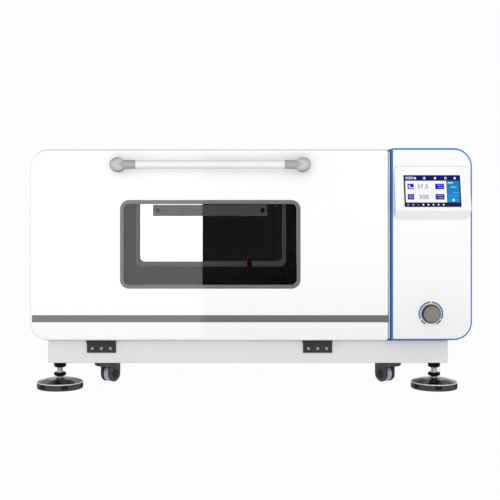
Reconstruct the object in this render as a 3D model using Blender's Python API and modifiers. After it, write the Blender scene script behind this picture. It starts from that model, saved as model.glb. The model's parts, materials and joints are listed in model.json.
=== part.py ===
"""Carbon dioxide shaking incubator: a low, wide cabinet with a drop-down door, an orbital
shaker in its plinth and a control column on its right.

Metres. X runs to the right, Y to the back and Z up; the origin is at the middle of the
object's footprint, on the surface that its four levelling feet stand on.
"""
import math
from typing import NamedTuple

import bmesh
import bpy
from mathutils import Euler, Matrix, Vector

# Fits and sheet thicknesses
GAP = 0.0003
SHEET = 0.002
CORNER_STEPS = 7
SMALL_CORNER_STEPS = 2
SMALL_CORNER = 0.010

# How far a cutter runs past what it cuts, and how deep joined pieces sink into each other
CLEAR = 0.010
BITE = 0.001

# Overall size
WIDTH = 1.329
HANDLE_REACH = 0.055
REAR_REACH = 0.020

# Plinth, which the cabinet stands on
PLINTH_LEFT_INSET = 0.0485
PLINTH_RIGHT_INSET = 0.0625
PLINTH_FRONT_SETBACK = 0.045
PLINTH_BACK_SETBACK = 0.025
PLINTH_BOTTOM = 0.088
PLINTH_HEIGHT = 0.0677
PLINTH_WALL = 0.003
PLINTH_FLOOR = 0.004

# Levelling feet
FOOT_LEFT_INSET = 0.027
FOOT_RIGHT_INSET = 0.030
FOOT_FRONT_SETBACK = 0.060
FOOT_BACK_SETBACK = 0.060
PAD_RADIUS = 0.071
PAD_RIM_HEIGHT = 0.0186
PAD_RIM_EDGE = 0.0015
PAD_HEIGHT = 0.030
PAD_NECK_RADIUS = 0.024
PAD_SOCKET_DEPTH = 0.0175
STEM_RADIUS = 0.0095
STEM_RISE_IN_PLINTH = 0.030
NUT_RADIUS = 0.0175
LOWER_NUT_RISE = 0.0048
LOWER_NUT_HEIGHT = 0.0161
UPPER_NUT_HEIGHT = 0.0247

# Casters
CASTER_LEFT_INSET = 0.172
CASTER_RIGHT_INSET = 0.170
CASTER_FRONT_SETBACK = 0.065
CASTER_BACK_SETBACK = 0.065
CASTER_PLATE_SIZE = 0.076
CASTER_PLATE_THICKNESS = 0.004
CASTER_TRAIL = 0.018
CASTER_TURN = 58
WHEEL_RADIUS = 0.025
WHEEL_WIDTH = 0.020
WHEEL_TREAD_EDGE = 0.003
WHEEL_CENTRE_HEIGHT = 0.0427
WHEEL_SLOT_SIDE = 0.001
WHEEL_SLOT_TOP = 0.002
AXLE_RADIUS = 0.004
HOOD_WIDTH = 0.036
HOOD_RADIUS = 0.026
HOOD_DROP = 0.017
HOOD_HEAD_RADIUS = 0.020
HOOD_HEAD_HEIGHT = 0.006

# Cabinet shell and chamber liner
SHELL_HEIGHT = 0.581
SHELL_RADIUS = 0.054
REAR_COVER_THICKNESS = 0.0017
CHAMBER_LEFT_WALL = 0.0495
CHAMBER_RIGHT_WALL = 0.057
CHAMBER_ROOF = 0.047
CHAMBER_FLOOR_RISE = 0.054
CHAMBER_DEPTH = 0.654
CHAMBER_RADIUS = 0.020
DRIVE_BAY_WALL = 0.030

# Door
DOOR_COLUMN_GAP = 0.0074
DOOR_THICKNESS = 0.058
DOOR_RISE = 0.0033
DOOR_DROP = 0.003
DOOR_LEFT_RADIUS = 0.056
DOOR_RIGHT_RADIUS = 0.009
DOOR_FILLET = 0.008
GASKET_THICKNESS = 0.0057
GASKET_WIDTH = 0.020
GASKET_MARGIN = 0.012

# Window, by its margins from the door's edges
WINDOW_LEFT_MARGIN = 0.2727
WINDOW_RIGHT_MARGIN = 0.2652
WINDOW_LOW_MARGIN = 0.1569
WINDOW_HIGH_MARGIN = 0.1523
WINDOW_RADIUS = 0.027
BEZEL_WIDTH = 0.0113
BEZEL_PROUD = 0.0012
BEZEL_DEPTH = 0.012
GLASS_THICKNESS = 0.005
GLASS_SETBACK = 0.003
INNER_GLASS_SETBACK = 0.049

# Door handle
HANDLE_LEFT_OVERHANG = 0.0052
HANDLE_RIGHT_OVERHANG = 0.0056
HANDLE_DROP = 0.047
HANDLE_POST_RADIUS = 0.022
HANDLE_POST_EDGE = 0.002
HANDLE_BAR_RADIUS = 0.0127
HANDLE_NECK_LENGTH = 0.055

# Door hinges
HINGE_LEFT_OVERHANG = 0.0612
HINGE_RIGHT_OVERHANG = 0.0553
HINGE_AXIS_DEPTH = 0.030
HINGE_AXIS_RISE = 0.0047
HINGE_WIDTH = 0.088
HINGE_LEAF_WIDTH = 0.044
HINGE_PLATE_THICKNESS = 0.0037
HINGE_PLATE_DROP = 0.0377
HINGE_ARM_DROP = 0.012
HINGE_ARM_SHOULDER = 0.0015
HINGE_ARM_NECK = 0.006
KNUCKLE_RADIUS = 0.007
PIN_RADIUS = 0.004
HINGE_NOTCH_FRONT = 0.010
HINGE_NOTCH_HEIGHT = 0.020
HINGE_NOTCH_SIDE = 0.002

# Control column
COLUMN_WIDTH = 0.2425
COLUMN_RISE = 0.005
COLUMN_CROWN = 0.001
COLUMN_RADIUS = 0.056
COLUMN_INNER_RADIUS = 0.006
TRIM_WIDTH = 0.0055
TRIM_SETBACK = 0.0015
COVER_THICKNESS = 0.010
COVER_EDGE = 0.0012

# Screen housing, a wedge that leans forward towards its lower lip
HOUSING_LEFT_MARGIN = 0.007
HOUSING_RIGHT_MARGIN = 0.0105
HOUSING_TOP_MARGIN = 0.053
HOUSING_HEIGHT = 0.160
HOUSING_LIP_RISE = 0.027
HOUSING_TOP_REACH = 0.008
HOUSING_LIP_REACH = 0.038
HOUSING_FOOT_REACH = 0.005
HOUSING_RADIUS = 0.016
HOUSING_EDGE = 0.002
SCREEN_LEFT_MARGIN = 0.0273
SCREEN_RIGHT_MARGIN = 0.0292
SCREEN_LOW_MARGIN = 0.0368
SCREEN_HIGH_MARGIN = 0.0285
SCREEN_THICKNESS = 0.004
RECESS_MARGIN = 0.009
RECESS_DEPTH = 0.0025

# Selector knob
SELECTOR_INSET = 0.1188
SELECTOR_RISE = 0.0797
SELECTOR_BEZEL_RADIUS = 0.0288
SELECTOR_BEZEL_HEIGHT = 0.006
SELECTOR_BUSH_RADIUS = 0.009
ENCODER_SIZE = 0.030
ENCODER_DEPTH = 0.018
SPINDLE_RADIUS = 0.003
KNOB_RADIUS = 0.025
KNOB_HEIGHT = 0.010
KNOB_EDGE = 0.0015
KNOB_PUSH = 0.0025

# Shaker platform and tray, by their clearances in the chamber
TRAY_SIDE_CLEARANCE = 0.060
TRAY_FRONT_CLEARANCE = 0.051
TRAY_BACK_CLEARANCE = 0.026
TRAY_DEPTH = 0.016
TRAY_RADIUS = 0.022
TRAY_SIDE_OVERHANG = 0.030
TRAY_END_OVERHANG = 0.015
PLATFORM_BAR = 0.040
PLATFORM_RADIUS = 0.012
PLATFORM_HEIGHT = 0.022
CUP_RADIUS = 0.024
CUP_DROP = 0.0005

# Orbital drive
ORBIT_RADIUS = 0.0125
CRANK_SIDE_SPREAD = 0.200
CRANK_END_SPREAD = 0.140
CRANK_SHAFT_RADIUS = 0.010
CRANK_DISC_RADIUS = 0.032
CRANK_DISC_HEIGHT = 0.012
CRANK_PIN_RADIUS = 0.008
CRANK_PIN_HEIGHT = 0.016
HUB_RADIUS = 0.030
HUB_CLEARANCE = 0.001
SHAFT_CLEARANCE = 0.004
DRIVE_PLATE_RISE = 0.026
DRIVE_PLATE_THICKNESS = 0.008
DRIVE_PLATE_MARGIN = 0.060
DRIVE_PLATE_RADIUS = 0.030
DRIVE_POST_RADIUS = 0.012
PULLEY_RADIUS = 0.084
MOTOR_PULLEY_RADIUS = 0.028
PULLEY_WIDTH = 0.013
PULLEY_DROP = 0.005
PULLEY_FLANGE = 0.004
PULLEY_FLANGE_THICKNESS = 0.002
BELT_THICKNESS = 0.003
MOTOR_INSET = 0.078
MOTOR_RADIUS = 0.055
MOTOR_HEIGHT = 0.114
MOTOR_SHAFT_RADIUS = 0.008
MOTOR_CLEARANCE = 0.002

# Fan, its motor behind the chamber, and the air duct that covers it
FAN_RISE = 0.290
FAN_RADIUS = 0.075
FAN_HUB_RADIUS = 0.016
FAN_WIDTH = 0.024
FAN_BACK_GAP = 0.012
FAN_FRONT_GAP = 0.011
FAN_BLADES = 9
FAN_BLADE_HALF_THICKNESS = 0.0008
FAN_SHAFT_RADIUS = 0.005
FAN_SHAFT_CLEARANCE = 0.002
FAN_MOTOR_RADIUS = 0.042
FAN_MOTOR_LENGTH = 0.048
FAN_MOTOR_SPACE = 0.0077
FAN_MOTOR_CLEARANCE = 0.001
DUCT_COVER_MARGIN = 0.025
DUCT_INTAKE_RADIUS = 0.060

# What hangs before the duct, by its place behind the window
MIRROR_LEFT_OVERHANG = 0.0117
MIRROR_RIGHT_INSET = 0.0027
MIRROR_LOW_INSET = 0.0286
MIRROR_HIGH_OVERHANG = 0.0683
MIRROR_RADIUS = 0.026
MIRROR_THICKNESS = 0.004
BAFFLE_LEFT_INSET = 0.0635
BAFFLE_RIGHT_INSET = 0.0697
BAFFLE_DROP = 0.079
BAFFLE_HEIGHT = 0.041
BAFFLE_RADIUS = 0.004
BAFFLE_SETOFF = 0.018
BAFFLE_THICKNESS = 0.003
BAFFLE_HOLE_RADIUS = 0.0088
BAFFLE_HOLE_INSET = 0.0155
BAFFLE_POST_RADIUS = 0.006
BAFFLE_POST_INSET = 0.062
PROBE_INSET = 0.1343
PROBE_RADIUS = 0.0088
PROBE_TIP = 0.004
PROBE_DROP = 0.0188
PROBE_LENGTH = 0.055
PROBE_SETOFF = 0.014
PROBE_STUB_RADIUS = 0.004
PROBE_STUB_DROP = 0.012

# Control unit on the cabinet's right wall
CONTROL_UNIT_LENGTH = 0.400
CONTROL_UNIT_HEIGHT = 0.260
CONTROL_UNIT_THICKNESS = 0.060
CONTROL_UNIT_RISE = 0.164
CONTROL_UNIT_SETBACK = 0.200

# Rear connections and louvres
REAR_ROW_INSET = 0.1245
INLET_RISE = 0.084
INLET_WIDTH = 0.048
INLET_HEIGHT = 0.028
INLET_RADIUS = 0.003
INLET_FLANGE = 0.012
INLET_FLANGE_THICKNESS = 0.0032
INLET_BODY_DEPTH = 0.030
INLET_RECESS_DEPTH = 0.018
INLET_WALL = 0.004
INLET_PIN_SPACING = 0.007
INLET_PIN_DROP = 0.002
INLET_PIN_RISE = 0.003
INLET_PIN_HALF_WIDTH = 0.001
INLET_PIN_HALF_HEIGHT = 0.002
INLET_PIN_SETBACK = 0.004
GAS_DROP = 0.097
GAS_RADIUS = 0.005
GAS_BORE_RADIUS = 0.0025
GAS_NECK_RADIUS = 0.003
GAS_BARB_RADIUS = 0.004
GAS_BARB_PITCH = 0.004
GAS_TAIL_LENGTH = 0.030
GAS_NUT_RADIUS = 0.011
GAS_NUT_THICKNESS = 0.004
LOUVRE_COUNT = 7
LOUVRE_LENGTH = 0.120
LOUVRE_HEIGHT = 0.006
LOUVRE_PITCH = 0.020
LOUVRE_RISE = 0.224

# Planes across the object, from its left side to its right side
LEFT = -0.5 * WIDTH
RIGHT = 0.5 * WIDTH
COLUMN_LEFT = RIGHT - COLUMN_WIDTH
DOOR_RIGHT = COLUMN_LEFT - DOOR_COLUMN_GAP
CHAMBER_LEFT = LEFT + CHAMBER_LEFT_WALL
CHAMBER_RIGHT = COLUMN_LEFT - CHAMBER_RIGHT_WALL
CHAMBER_CENTRE_X = (CHAMBER_LEFT + CHAMBER_RIGHT) / 2
PLINTH_LEFT = LEFT + PLINTH_LEFT_INSET
PLINTH_RIGHT = RIGHT - PLINTH_RIGHT_INSET
WINDOW_LEFT = LEFT + WINDOW_LEFT_MARGIN
WINDOW_RIGHT = DOOR_RIGHT - WINDOW_RIGHT_MARGIN
HANDLE_LEFT_X = WINDOW_LEFT - HANDLE_LEFT_OVERHANG
HANDLE_RIGHT_X = WINDOW_RIGHT + HANDLE_RIGHT_OVERHANG
HINGE_LEFT_X = WINDOW_LEFT - HINGE_LEFT_OVERHANG
HINGE_RIGHT_X = WINDOW_RIGHT + HINGE_RIGHT_OVERHANG
MIRROR_LEFT = WINDOW_LEFT - MIRROR_LEFT_OVERHANG
MIRROR_RIGHT = WINDOW_RIGHT - MIRROR_RIGHT_INSET
BAFFLE_LEFT = MIRROR_LEFT + BAFFLE_LEFT_INSET
BAFFLE_RIGHT = MIRROR_RIGHT - BAFFLE_RIGHT_INSET
PROBE_X = MIRROR_RIGHT - PROBE_INSET
HOUSING_LEFT = COLUMN_LEFT + HOUSING_LEFT_MARGIN
HOUSING_RIGHT = RIGHT - HOUSING_RIGHT_MARGIN
SCREEN_LEFT = HOUSING_LEFT + SCREEN_LEFT_MARGIN
SCREEN_RIGHT = HOUSING_RIGHT - SCREEN_RIGHT_MARGIN
SELECTOR_X = COLUMN_LEFT + SELECTOR_INSET
MOTOR_X = COLUMN_LEFT + MOTOR_INSET
REAR_ROW_X = RIGHT - REAR_ROW_INSET

# Planes through the object, from its front to its back
REAR_SPACE = SHEET + GAP + FAN_MOTOR_LENGTH + FAN_MOTOR_SPACE
BODY_DEPTH = (
    DOOR_THICKNESS
    + GASKET_THICKNESS
    + GAP
    + SHEET
    + CHAMBER_DEPTH
    + REAR_SPACE
    + GAP
    + REAR_COVER_THICKNESS
)
DOOR_FRONT = HANDLE_REACH - 0.5 * (HANDLE_REACH + BODY_DEPTH + REAR_REACH)
DOOR_BACK = DOOR_FRONT + DOOR_THICKNESS
SHELL_FRONT = DOOR_BACK + GASKET_THICKNESS + GAP
REAR_FACE = DOOR_FRONT + BODY_DEPTH
SHELL_BACK = REAR_FACE - REAR_COVER_THICKNESS - GAP
PLINTH_FRONT = DOOR_FRONT + PLINTH_FRONT_SETBACK
PLINTH_BACK = REAR_FACE - PLINTH_BACK_SETBACK
LINER_BACK = SHELL_FRONT + SHEET + CHAMBER_DEPTH
FAN_BACK = LINER_BACK - FAN_BACK_GAP
FAN_FRONT = FAN_BACK - FAN_WIDTH
DUCT_COVER_FRONT = FAN_FRONT - FAN_FRONT_GAP - SHEET
MIRROR_FRONT = DUCT_COVER_FRONT - GAP - MIRROR_THICKNESS
HINGE_AXIS_Y = DOOR_FRONT + HINGE_AXIS_DEPTH
TRAY_FRONT = SHELL_FRONT + TRAY_FRONT_CLEARANCE
TRAY_BACK = DUCT_COVER_FRONT - TRAY_BACK_CLEARANCE
TRAY_CENTRE_Y = (TRAY_FRONT + TRAY_BACK) / 2

# Planes from the ground upwards
PLINTH_TOP = PLINTH_BOTTOM + PLINTH_HEIGHT
SHELL_BOTTOM = PLINTH_TOP + GAP
SHELL_TOP = SHELL_BOTTOM + SHELL_HEIGHT
LINER_FLOOR = SHELL_BOTTOM + CHAMBER_FLOOR_RISE
LINER_ROOF = SHELL_TOP - CHAMBER_ROOF
FAN_Z = LINER_FLOOR + FAN_RISE
DOOR_BOTTOM = SHELL_BOTTOM + DOOR_RISE
DOOR_TOP = SHELL_TOP - DOOR_DROP
HINGE_AXIS_Z = DOOR_BOTTOM + HINGE_AXIS_RISE
WINDOW_LOW = DOOR_BOTTOM + WINDOW_LOW_MARGIN
WINDOW_HIGH = DOOR_TOP - WINDOW_HIGH_MARGIN
HANDLE_Z = DOOR_TOP - HANDLE_DROP
MIRROR_LOW = WINDOW_LOW + MIRROR_LOW_INSET
MIRROR_HIGH = WINDOW_HIGH + MIRROR_HIGH_OVERHANG
BAFFLE_HIGH = MIRROR_HIGH - BAFFLE_DROP
BAFFLE_LOW = BAFFLE_HIGH - BAFFLE_HEIGHT
PROBE_LOW = MIRROR_LOW - PROBE_DROP
PROBE_HIGH = PROBE_LOW + PROBE_LENGTH
COLUMN_BOTTOM = SHELL_BOTTOM + COLUMN_RISE
COLUMN_TOP = SHELL_TOP + COLUMN_CROWN
HOUSING_HIGH = COLUMN_TOP - HOUSING_TOP_MARGIN
HOUSING_LOW = HOUSING_HIGH - HOUSING_HEIGHT
HOUSING_LIP_Z = HOUSING_LOW + HOUSING_LIP_RISE
SCREEN_LOW = HOUSING_LOW + SCREEN_LOW_MARGIN
SCREEN_HIGH = HOUSING_HIGH - SCREEN_HIGH_MARGIN
SELECTOR_Z = COLUMN_BOTTOM + SELECTOR_RISE
INLET_Z = SHELL_BOTTOM + INLET_RISE
GAS_Z = SHELL_TOP - GAS_DROP
LOUVRE_LOW = SHELL_BOTTOM + LOUVRE_RISE
CONTROL_UNIT_LOW = SHELL_BOTTOM + CONTROL_UNIT_RISE
DRIVE_PLATE_BOTTOM = PLINTH_BOTTOM + PLINTH_FLOOR + DRIVE_PLATE_RISE
DRIVE_PLATE_TOP = DRIVE_PLATE_BOTTOM + DRIVE_PLATE_THICKNESS
HUB_TOP = LINER_FLOOR - SHEET - GAP
DISC_BOTTOM = LINER_FLOOR + GAP
DISC_TOP = DISC_BOTTOM + CRANK_DISC_HEIGHT
PIN_TOP = DISC_TOP + CRANK_PIN_HEIGHT
PLATFORM_BOTTOM = DISC_TOP + 2 * GAP
PLATFORM_TOP = PLATFORM_BOTTOM + PLATFORM_HEIGHT

# Where the cranks, feet and casters stand: X, Y and, for a caster, the turn of its fork
CRANK_Y = TRAY_CENTRE_Y + CRANK_END_SPREAD
CRANKS = {
    "crank_driven": (CHAMBER_CENTRE_X + CRANK_SIDE_SPREAD, CRANK_Y),
    "crank_rear": (CHAMBER_CENTRE_X - CRANK_SIDE_SPREAD, CRANK_Y),
    "crank_front": (CHAMBER_CENTRE_X, TRAY_CENTRE_Y - CRANK_END_SPREAD),
}
FEET = {
    "front_left": (PLINTH_LEFT + FOOT_LEFT_INSET, PLINTH_FRONT + FOOT_FRONT_SETBACK),
    "front_right": (PLINTH_RIGHT - FOOT_RIGHT_INSET, PLINTH_FRONT + FOOT_FRONT_SETBACK),
    "rear_left": (PLINTH_LEFT + FOOT_LEFT_INSET, PLINTH_BACK - FOOT_BACK_SETBACK),
    "rear_right": (PLINTH_RIGHT - FOOT_RIGHT_INSET, PLINTH_BACK - FOOT_BACK_SETBACK),
}
CASTER_LEFT_X = PLINTH_LEFT + CASTER_LEFT_INSET
CASTER_RIGHT_X = PLINTH_RIGHT - CASTER_RIGHT_INSET
CASTERS = {
    "front_left": (CASTER_LEFT_X, PLINTH_FRONT + CASTER_FRONT_SETBACK, CASTER_TURN),
    "front_right": (CASTER_RIGHT_X, PLINTH_FRONT + CASTER_FRONT_SETBACK, 180 - CASTER_TURN),
    "rear_left": (CASTER_LEFT_X, PLINTH_BACK - CASTER_BACK_SETBACK, CASTER_TURN),
    "rear_right": (CASTER_RIGHT_X, PLINTH_BACK - CASTER_BACK_SETBACK, 180 - CASTER_TURN),
}

# Finishes: colour, roughness and metallic value
FINISHES = {
    "white paint": ((0.92, 0.92, 0.92), 0.30, 0.0),
    "grey paint": ((0.80, 0.80, 0.80), 0.45, 0.0),
    "blue paint": ((0.05, 0.24, 0.62), 0.30, 0.0),
    "dark grey paint": ((0.045, 0.045, 0.047), 0.50, 0.0),
    "black plastic": ((0.012, 0.012, 0.013), 0.40, 0.0),
    "handle grey": ((0.50, 0.50, 0.51), 0.35, 0.0),
    "brushed steel": ((0.55, 0.56, 0.57), 0.28, 1.0),
    "mirror steel": ((0.72, 0.72, 0.73), 0.06, 1.0),
    "zinc": ((0.60, 0.60, 0.58), 0.35, 1.0),
    "cast aluminium": ((0.60, 0.60, 0.60), 0.50, 0.9),
    "rubber": ((0.020, 0.020, 0.020), 0.80, 0.0),
    "wheel": ((0.40, 0.42, 0.50), 0.45, 0.0),
    "glass": ((0.85, 0.88, 0.88), 0.03, 0.0),
    "screen": ((0.010, 0.012, 0.040), 0.10, 0.0),
    "foam": ((0.80, 0.74, 0.52), 0.90, 0.0),
    "red plastic": ((0.16, 0.010, 0.012), 0.40, 0.0),
    "brass": ((0.70, 0.52, 0.22), 0.30, 1.0),
}

# Which way a flat outline faces, as the turn from the XY plane
FACING = {
    "plan": Euler((0, 0, 0)),
    "front": Euler((math.radians(90), 0, 0)),
    "side": Euler((math.radians(90), 0, math.radians(90))),
}
THICKNESS_AXIS = {"plan": Vector((0, 0, 1)), "front": Vector((0, 1, 0)), "side": Vector((1, 0, 0))}


class Rect(NamedTuple):
    """A rectangle with round corners, whose radii run anticlockwise from its lower left."""

    left: float
    right: float
    low: float
    high: float
    radii: tuple = (0.0, 0.0, 0.0, 0.0)

    def inset(self, gap):
        radii = tuple(max(radius - gap, 0.0) for radius in self.radii)
        return Rect(self.left + gap, self.right - gap, self.low + gap, self.high - gap, radii)

    def points(self):
        corners = (
            (self.left, self.low, 1, 1),
            (self.right, self.low, -1, 1),
            (self.right, self.high, -1, -1),
            (self.left, self.high, 1, -1),
        )
        found = []
        for quarter, ((x, y, toward_x, toward_y), radius) in enumerate(zip(corners, self.radii)):
            centre = (x + toward_x * radius, y + toward_y * radius)
            start = 180 + 90 * quarter
            steps = CORNER_STEPS if radius > SMALL_CORNER else SMALL_CORNER_STEPS
            found += arc(centre, radius, start, start + 90, steps) if radius else [(x, y)]
        return found


def arc(centre, radius, start, end, steps):
    """Points on an arc between two angles in degrees."""
    angles = [math.radians(start + (end - start) * step / steps) for step in range(steps + 1)]
    return [(centre[0] + radius * math.cos(a), centre[1] + radius * math.sin(a)) for a in angles]


def even_rect(left, right, low, high, radius):
    return Rect(left, right, low, high, (radius,) * 4)


def add_object(name, data):
    thing = bpy.data.objects.new(name, data)
    PARTS.objects.link(thing)
    return thing


def mesh_object(name, build):
    """A new mesh object whose mesh is made by build(bm)."""
    bm = bmesh.new()
    build(bm)
    mesh = bpy.data.meshes.new(name)
    bm.to_mesh(mesh)
    bm.free()
    return add_object(name, mesh)


def box(name, low, high):
    """A box between two corners."""
    size = Vector(high) - Vector(low)

    def build(bm):
        bmesh.ops.create_cube(bm, size=1.0)
        bmesh.ops.scale(bm, vec=size, verts=bm.verts)

    block = mesh_object(name, build)
    block.location = (Vector(low) + Vector(high)) / 2
    return block


def rod(name, radius, centre, start, end, facing="plan", segments=16):
    """A cylinder along the thickness axis; centre is its place in the outline's own plane."""

    def build(bm):
        bmesh.ops.create_cone(
            bm, cap_ends=True, segments=segments, radius1=radius, radius2=radius, depth=end - start
        )

    cylinder = mesh_object(name, build)
    cylinder.rotation_euler = FACING[facing]
    flat = Vector((centre[0], centre[1], 0))
    flat.rotate(FACING[facing])
    cylinder.location = flat + THICKNESS_AXIS[facing] * (start + end) / 2
    smooth(cylinder)
    return cylinder


def prism(name, outlines, start, end, facing="front"):
    """A plate between two planes, from a closed outline and the outlines of its holes."""
    curve = bpy.data.curves.new(name, "CURVE")
    curve.dimensions = "2D"
    curve.fill_mode = "BOTH"
    curve.extrude = (end - start) / 2
    for points in outlines:
        spline = curve.splines.new("POLY")
        spline.points.add(len(points) - 1)
        for place, (x, y) in zip(spline.points, points):
            place.co = (x, y, 0, 1)
        spline.use_cyclic_u = True
    flat = add_object(name, curve)
    depsgraph = bpy.context.evaluated_depsgraph_get()
    mesh = bpy.data.meshes.new_from_object(flat.evaluated_get(depsgraph))
    bpy.data.objects.remove(flat)
    bm = bmesh.new()
    bm.from_mesh(mesh)
    bmesh.ops.remove_doubles(bm, verts=bm.verts, dist=0.00001)
    bmesh.ops.recalc_face_normals(bm, faces=bm.faces)
    bm.to_mesh(mesh)
    bm.free()
    plate = add_object(name, mesh)
    plate.rotation_euler = FACING[facing]
    plate.location = THICKNESS_AXIS[facing] * (start + end) / 2
    return plate


def turned(name, profile, centre, height=0.0, facing="plan", steps=20):
    """A turned piece: its profile is (radius, height) from the top down its outer side."""
    mesh = bpy.data.meshes.new(name)
    edges = [(index, index + 1) for index in range(len(profile) - 1)]
    if min(profile[0][0], profile[-1][0]) > 0:
        edges.append((len(profile) - 1, 0))
    mesh.from_pydata([(radius, 0, z) for radius, z in profile], edges, [])
    piece = add_object(name, mesh)
    screw = piece.modifiers.new("Turn", "SCREW")
    screw.steps = steps
    screw.render_steps = steps
    screw.use_merge_vertices = True
    screw.merge_threshold = 0.00002
    screw.use_smooth_shade = True
    piece.rotation_euler = FACING[facing]
    flat = Vector((centre[0], centre[1], 0))
    flat.rotate(FACING[facing])
    piece.location = flat + THICKNESS_AXIS[facing] * height
    return piece


def smooth(piece):
    piece.data.shade_smooth()
    piece.data.set_sharp_from_angle(angle=math.radians(35))


def combine(target, tools, operation):
    for tool in tools:
        change = target.modifiers.new(tool.name, "BOOLEAN")
        change.object = tool
        change.operation = operation
        change.solver = "EXACT"
        if tool.name in PARTS.objects:
            PARTS.objects.unlink(tool)
            CUTTERS.objects.link(tool)
        tool.hide_render = True
        tool.display_type = "WIRE"
    return target


def cut(target, *tools):
    return combine(target, tools, "DIFFERENCE")


def join(target, *tools):
    return combine(target, tools, "UNION")


def trim_to(target, tool):
    return combine(target, [tool], "INTERSECT")


def finish(piece, finish_name):
    """Gives a piece a material of its own in one of the named finishes."""
    colour, roughness, metallic = FINISHES[finish_name]
    material = bpy.data.materials.new(piece.name)
    material.use_nodes = True
    shader = material.node_tree.nodes["Principled BSDF"]
    shader.inputs["Base Color"].default_value = (*colour, 1)
    shader.inputs["Roughness"].default_value = roughness
    shader.inputs["Metallic"].default_value = metallic
    piece.data.materials.append(material)
    return piece


def pivot(name, place, pieces, parent=None):
    """An empty on a joint's axis that carries the pieces which move there."""
    empty = bpy.data.objects.new(name, None)
    CUTTERS.objects.link(empty)
    empty.location = place
    if parent:
        empty.parent = parent
        empty.matrix_parent_inverse = world_place(parent).inverted()
    for piece in pieces:
        piece.parent = empty
        piece.matrix_parent_inverse = Matrix.Translation(place).inverted()
    return empty


def world_place(empty):
    return Matrix.Translation(empty.matrix_basis.translation)


def round_edges(piece, chosen, radius, segments):
    """Rounds the edges of a mesh for which chosen(edge) is true, before its modifiers."""
    bm = bmesh.new()
    bm.from_mesh(piece.data)
    edges = [edge for edge in bm.edges if chosen(edge)]
    bmesh.ops.bevel(
        bm, geom=edges, offset=radius, segments=segments, profile=0.5, affect="EDGES"
    )
    bm.to_mesh(piece.data)
    bm.free()
    smooth(piece)
    return piece


def on_front(edge, half):
    """Whether an edge of a front-facing prism lies along the rim of its front face."""
    return all(abs(vertex.co.z - half) < 1e-6 for vertex in edge.verts) and edge.calc_face_angle(0) > 0.5


def on_front_rim(edge):
    """Whether an edge of a front-facing rod lies on the rim of its front end."""
    first, second = edge.verts
    return abs(first.co.z - second.co.z) < 1e-6 and first.co.z > 0


# Outlines that several pieces share


def plinth_rect():
    return Rect(PLINTH_LEFT, PLINTH_RIGHT, PLINTH_FRONT, PLINTH_BACK)


def shell_rect():
    return even_rect(LEFT + GAP, RIGHT - GAP, SHELL_BOTTOM, SHELL_TOP, SHELL_RADIUS)


def chamber_rect():
    return even_rect(CHAMBER_LEFT, CHAMBER_RIGHT, LINER_FLOOR, LINER_ROOF, CHAMBER_RADIUS)


def door_rect():
    left, right = DOOR_LEFT_RADIUS, DOOR_RIGHT_RADIUS
    return Rect(LEFT, DOOR_RIGHT, DOOR_BOTTOM, DOOR_TOP, (left, right, right, left))


def window_rect():
    return even_rect(WINDOW_LEFT, WINDOW_RIGHT, WINDOW_LOW, WINDOW_HIGH, WINDOW_RADIUS)


def column_rect():
    inner, outer = COLUMN_INNER_RADIUS, COLUMN_RADIUS
    return Rect(COLUMN_LEFT, RIGHT, COLUMN_BOTTOM, COLUMN_TOP, (inner, outer, outer, inner))


# Plinth, feet and casters


def base_frame():
    rect = plinth_rect()
    pan = prism("base_frame", [rect.points()], PLINTH_BOTTOM, PLINTH_TOP, "plan")
    inside = rect.inset(PLINTH_WALL)
    floor = PLINTH_BOTTOM + PLINTH_FLOOR
    hollow = prism("plinth_hollow", [inside.points()], floor, PLINTH_TOP + CLEAR, "plan")
    cut(pan, hollow)
    for place, (x, y) in FEET.items():
        nut_bottom = PLINTH_BOTTOM - UPPER_NUT_HEIGHT
        nut = rod(f"upper_nut_{place}", NUT_RADIUS, (x, y), nut_bottom, PLINTH_BOTTOM + BITE, segments=6)
        bore = rod(
            f"foot_bore_{place}", STEM_RADIUS + GAP, (x, y), nut_bottom - CLEAR, PLINTH_TOP, segments=14
        )
        join(pan, nut)
        cut(pan, bore)
    for place, (x, y, _) in CASTERS.items():
        half = CASTER_PLATE_SIZE / 2
        plate = box(
            f"caster_plate_{place}",
            (x - half, y - half, PLINTH_BOTTOM - CASTER_PLATE_THICKNESS),
            (x + half, y + half, PLINTH_BOTTOM + BITE),
        )
        join(pan, plate)
    return finish(pan, "grey paint")


def levelling_foot(place, x, y):
    socket_floor = PAD_HEIGHT - PAD_SOCKET_DEPTH
    bore = STEM_RADIUS + GAP
    edge = PAD_RIM_EDGE
    pad = turned(
        f"foot_pad_{place}",
        [
            (0, socket_floor),
            (bore, socket_floor),
            (bore, PAD_HEIGHT),
            (PAD_NECK_RADIUS, PAD_HEIGHT),
            (PAD_RADIUS - edge, PAD_RIM_HEIGHT),
            (PAD_RADIUS, PAD_RIM_HEIGHT - edge),
            (PAD_RADIUS, 0),
            (0, 0),
        ],
        (x, y),
        steps=26,
    )
    stem_bottom = socket_floor + GAP
    stem_top = PLINTH_BOTTOM + PLINTH_FLOOR + STEM_RISE_IN_PLINTH
    stem = rod(f"foot_stem_{place}", STEM_RADIUS, (x, y), stem_bottom, stem_top, segments=14)
    nut_bottom = PAD_HEIGHT + LOWER_NUT_RISE
    nut_top = nut_bottom + LOWER_NUT_HEIGHT
    nut = rod(f"lower_nut_{place}", NUT_RADIUS, (x, y), nut_bottom, nut_top, segments=6)
    join(stem, nut)
    pivot(f"foot_axis_{place}", (x, y, 0), [pad, stem])
    finish(pad, "rubber")
    finish(stem, "zinc")


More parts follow.
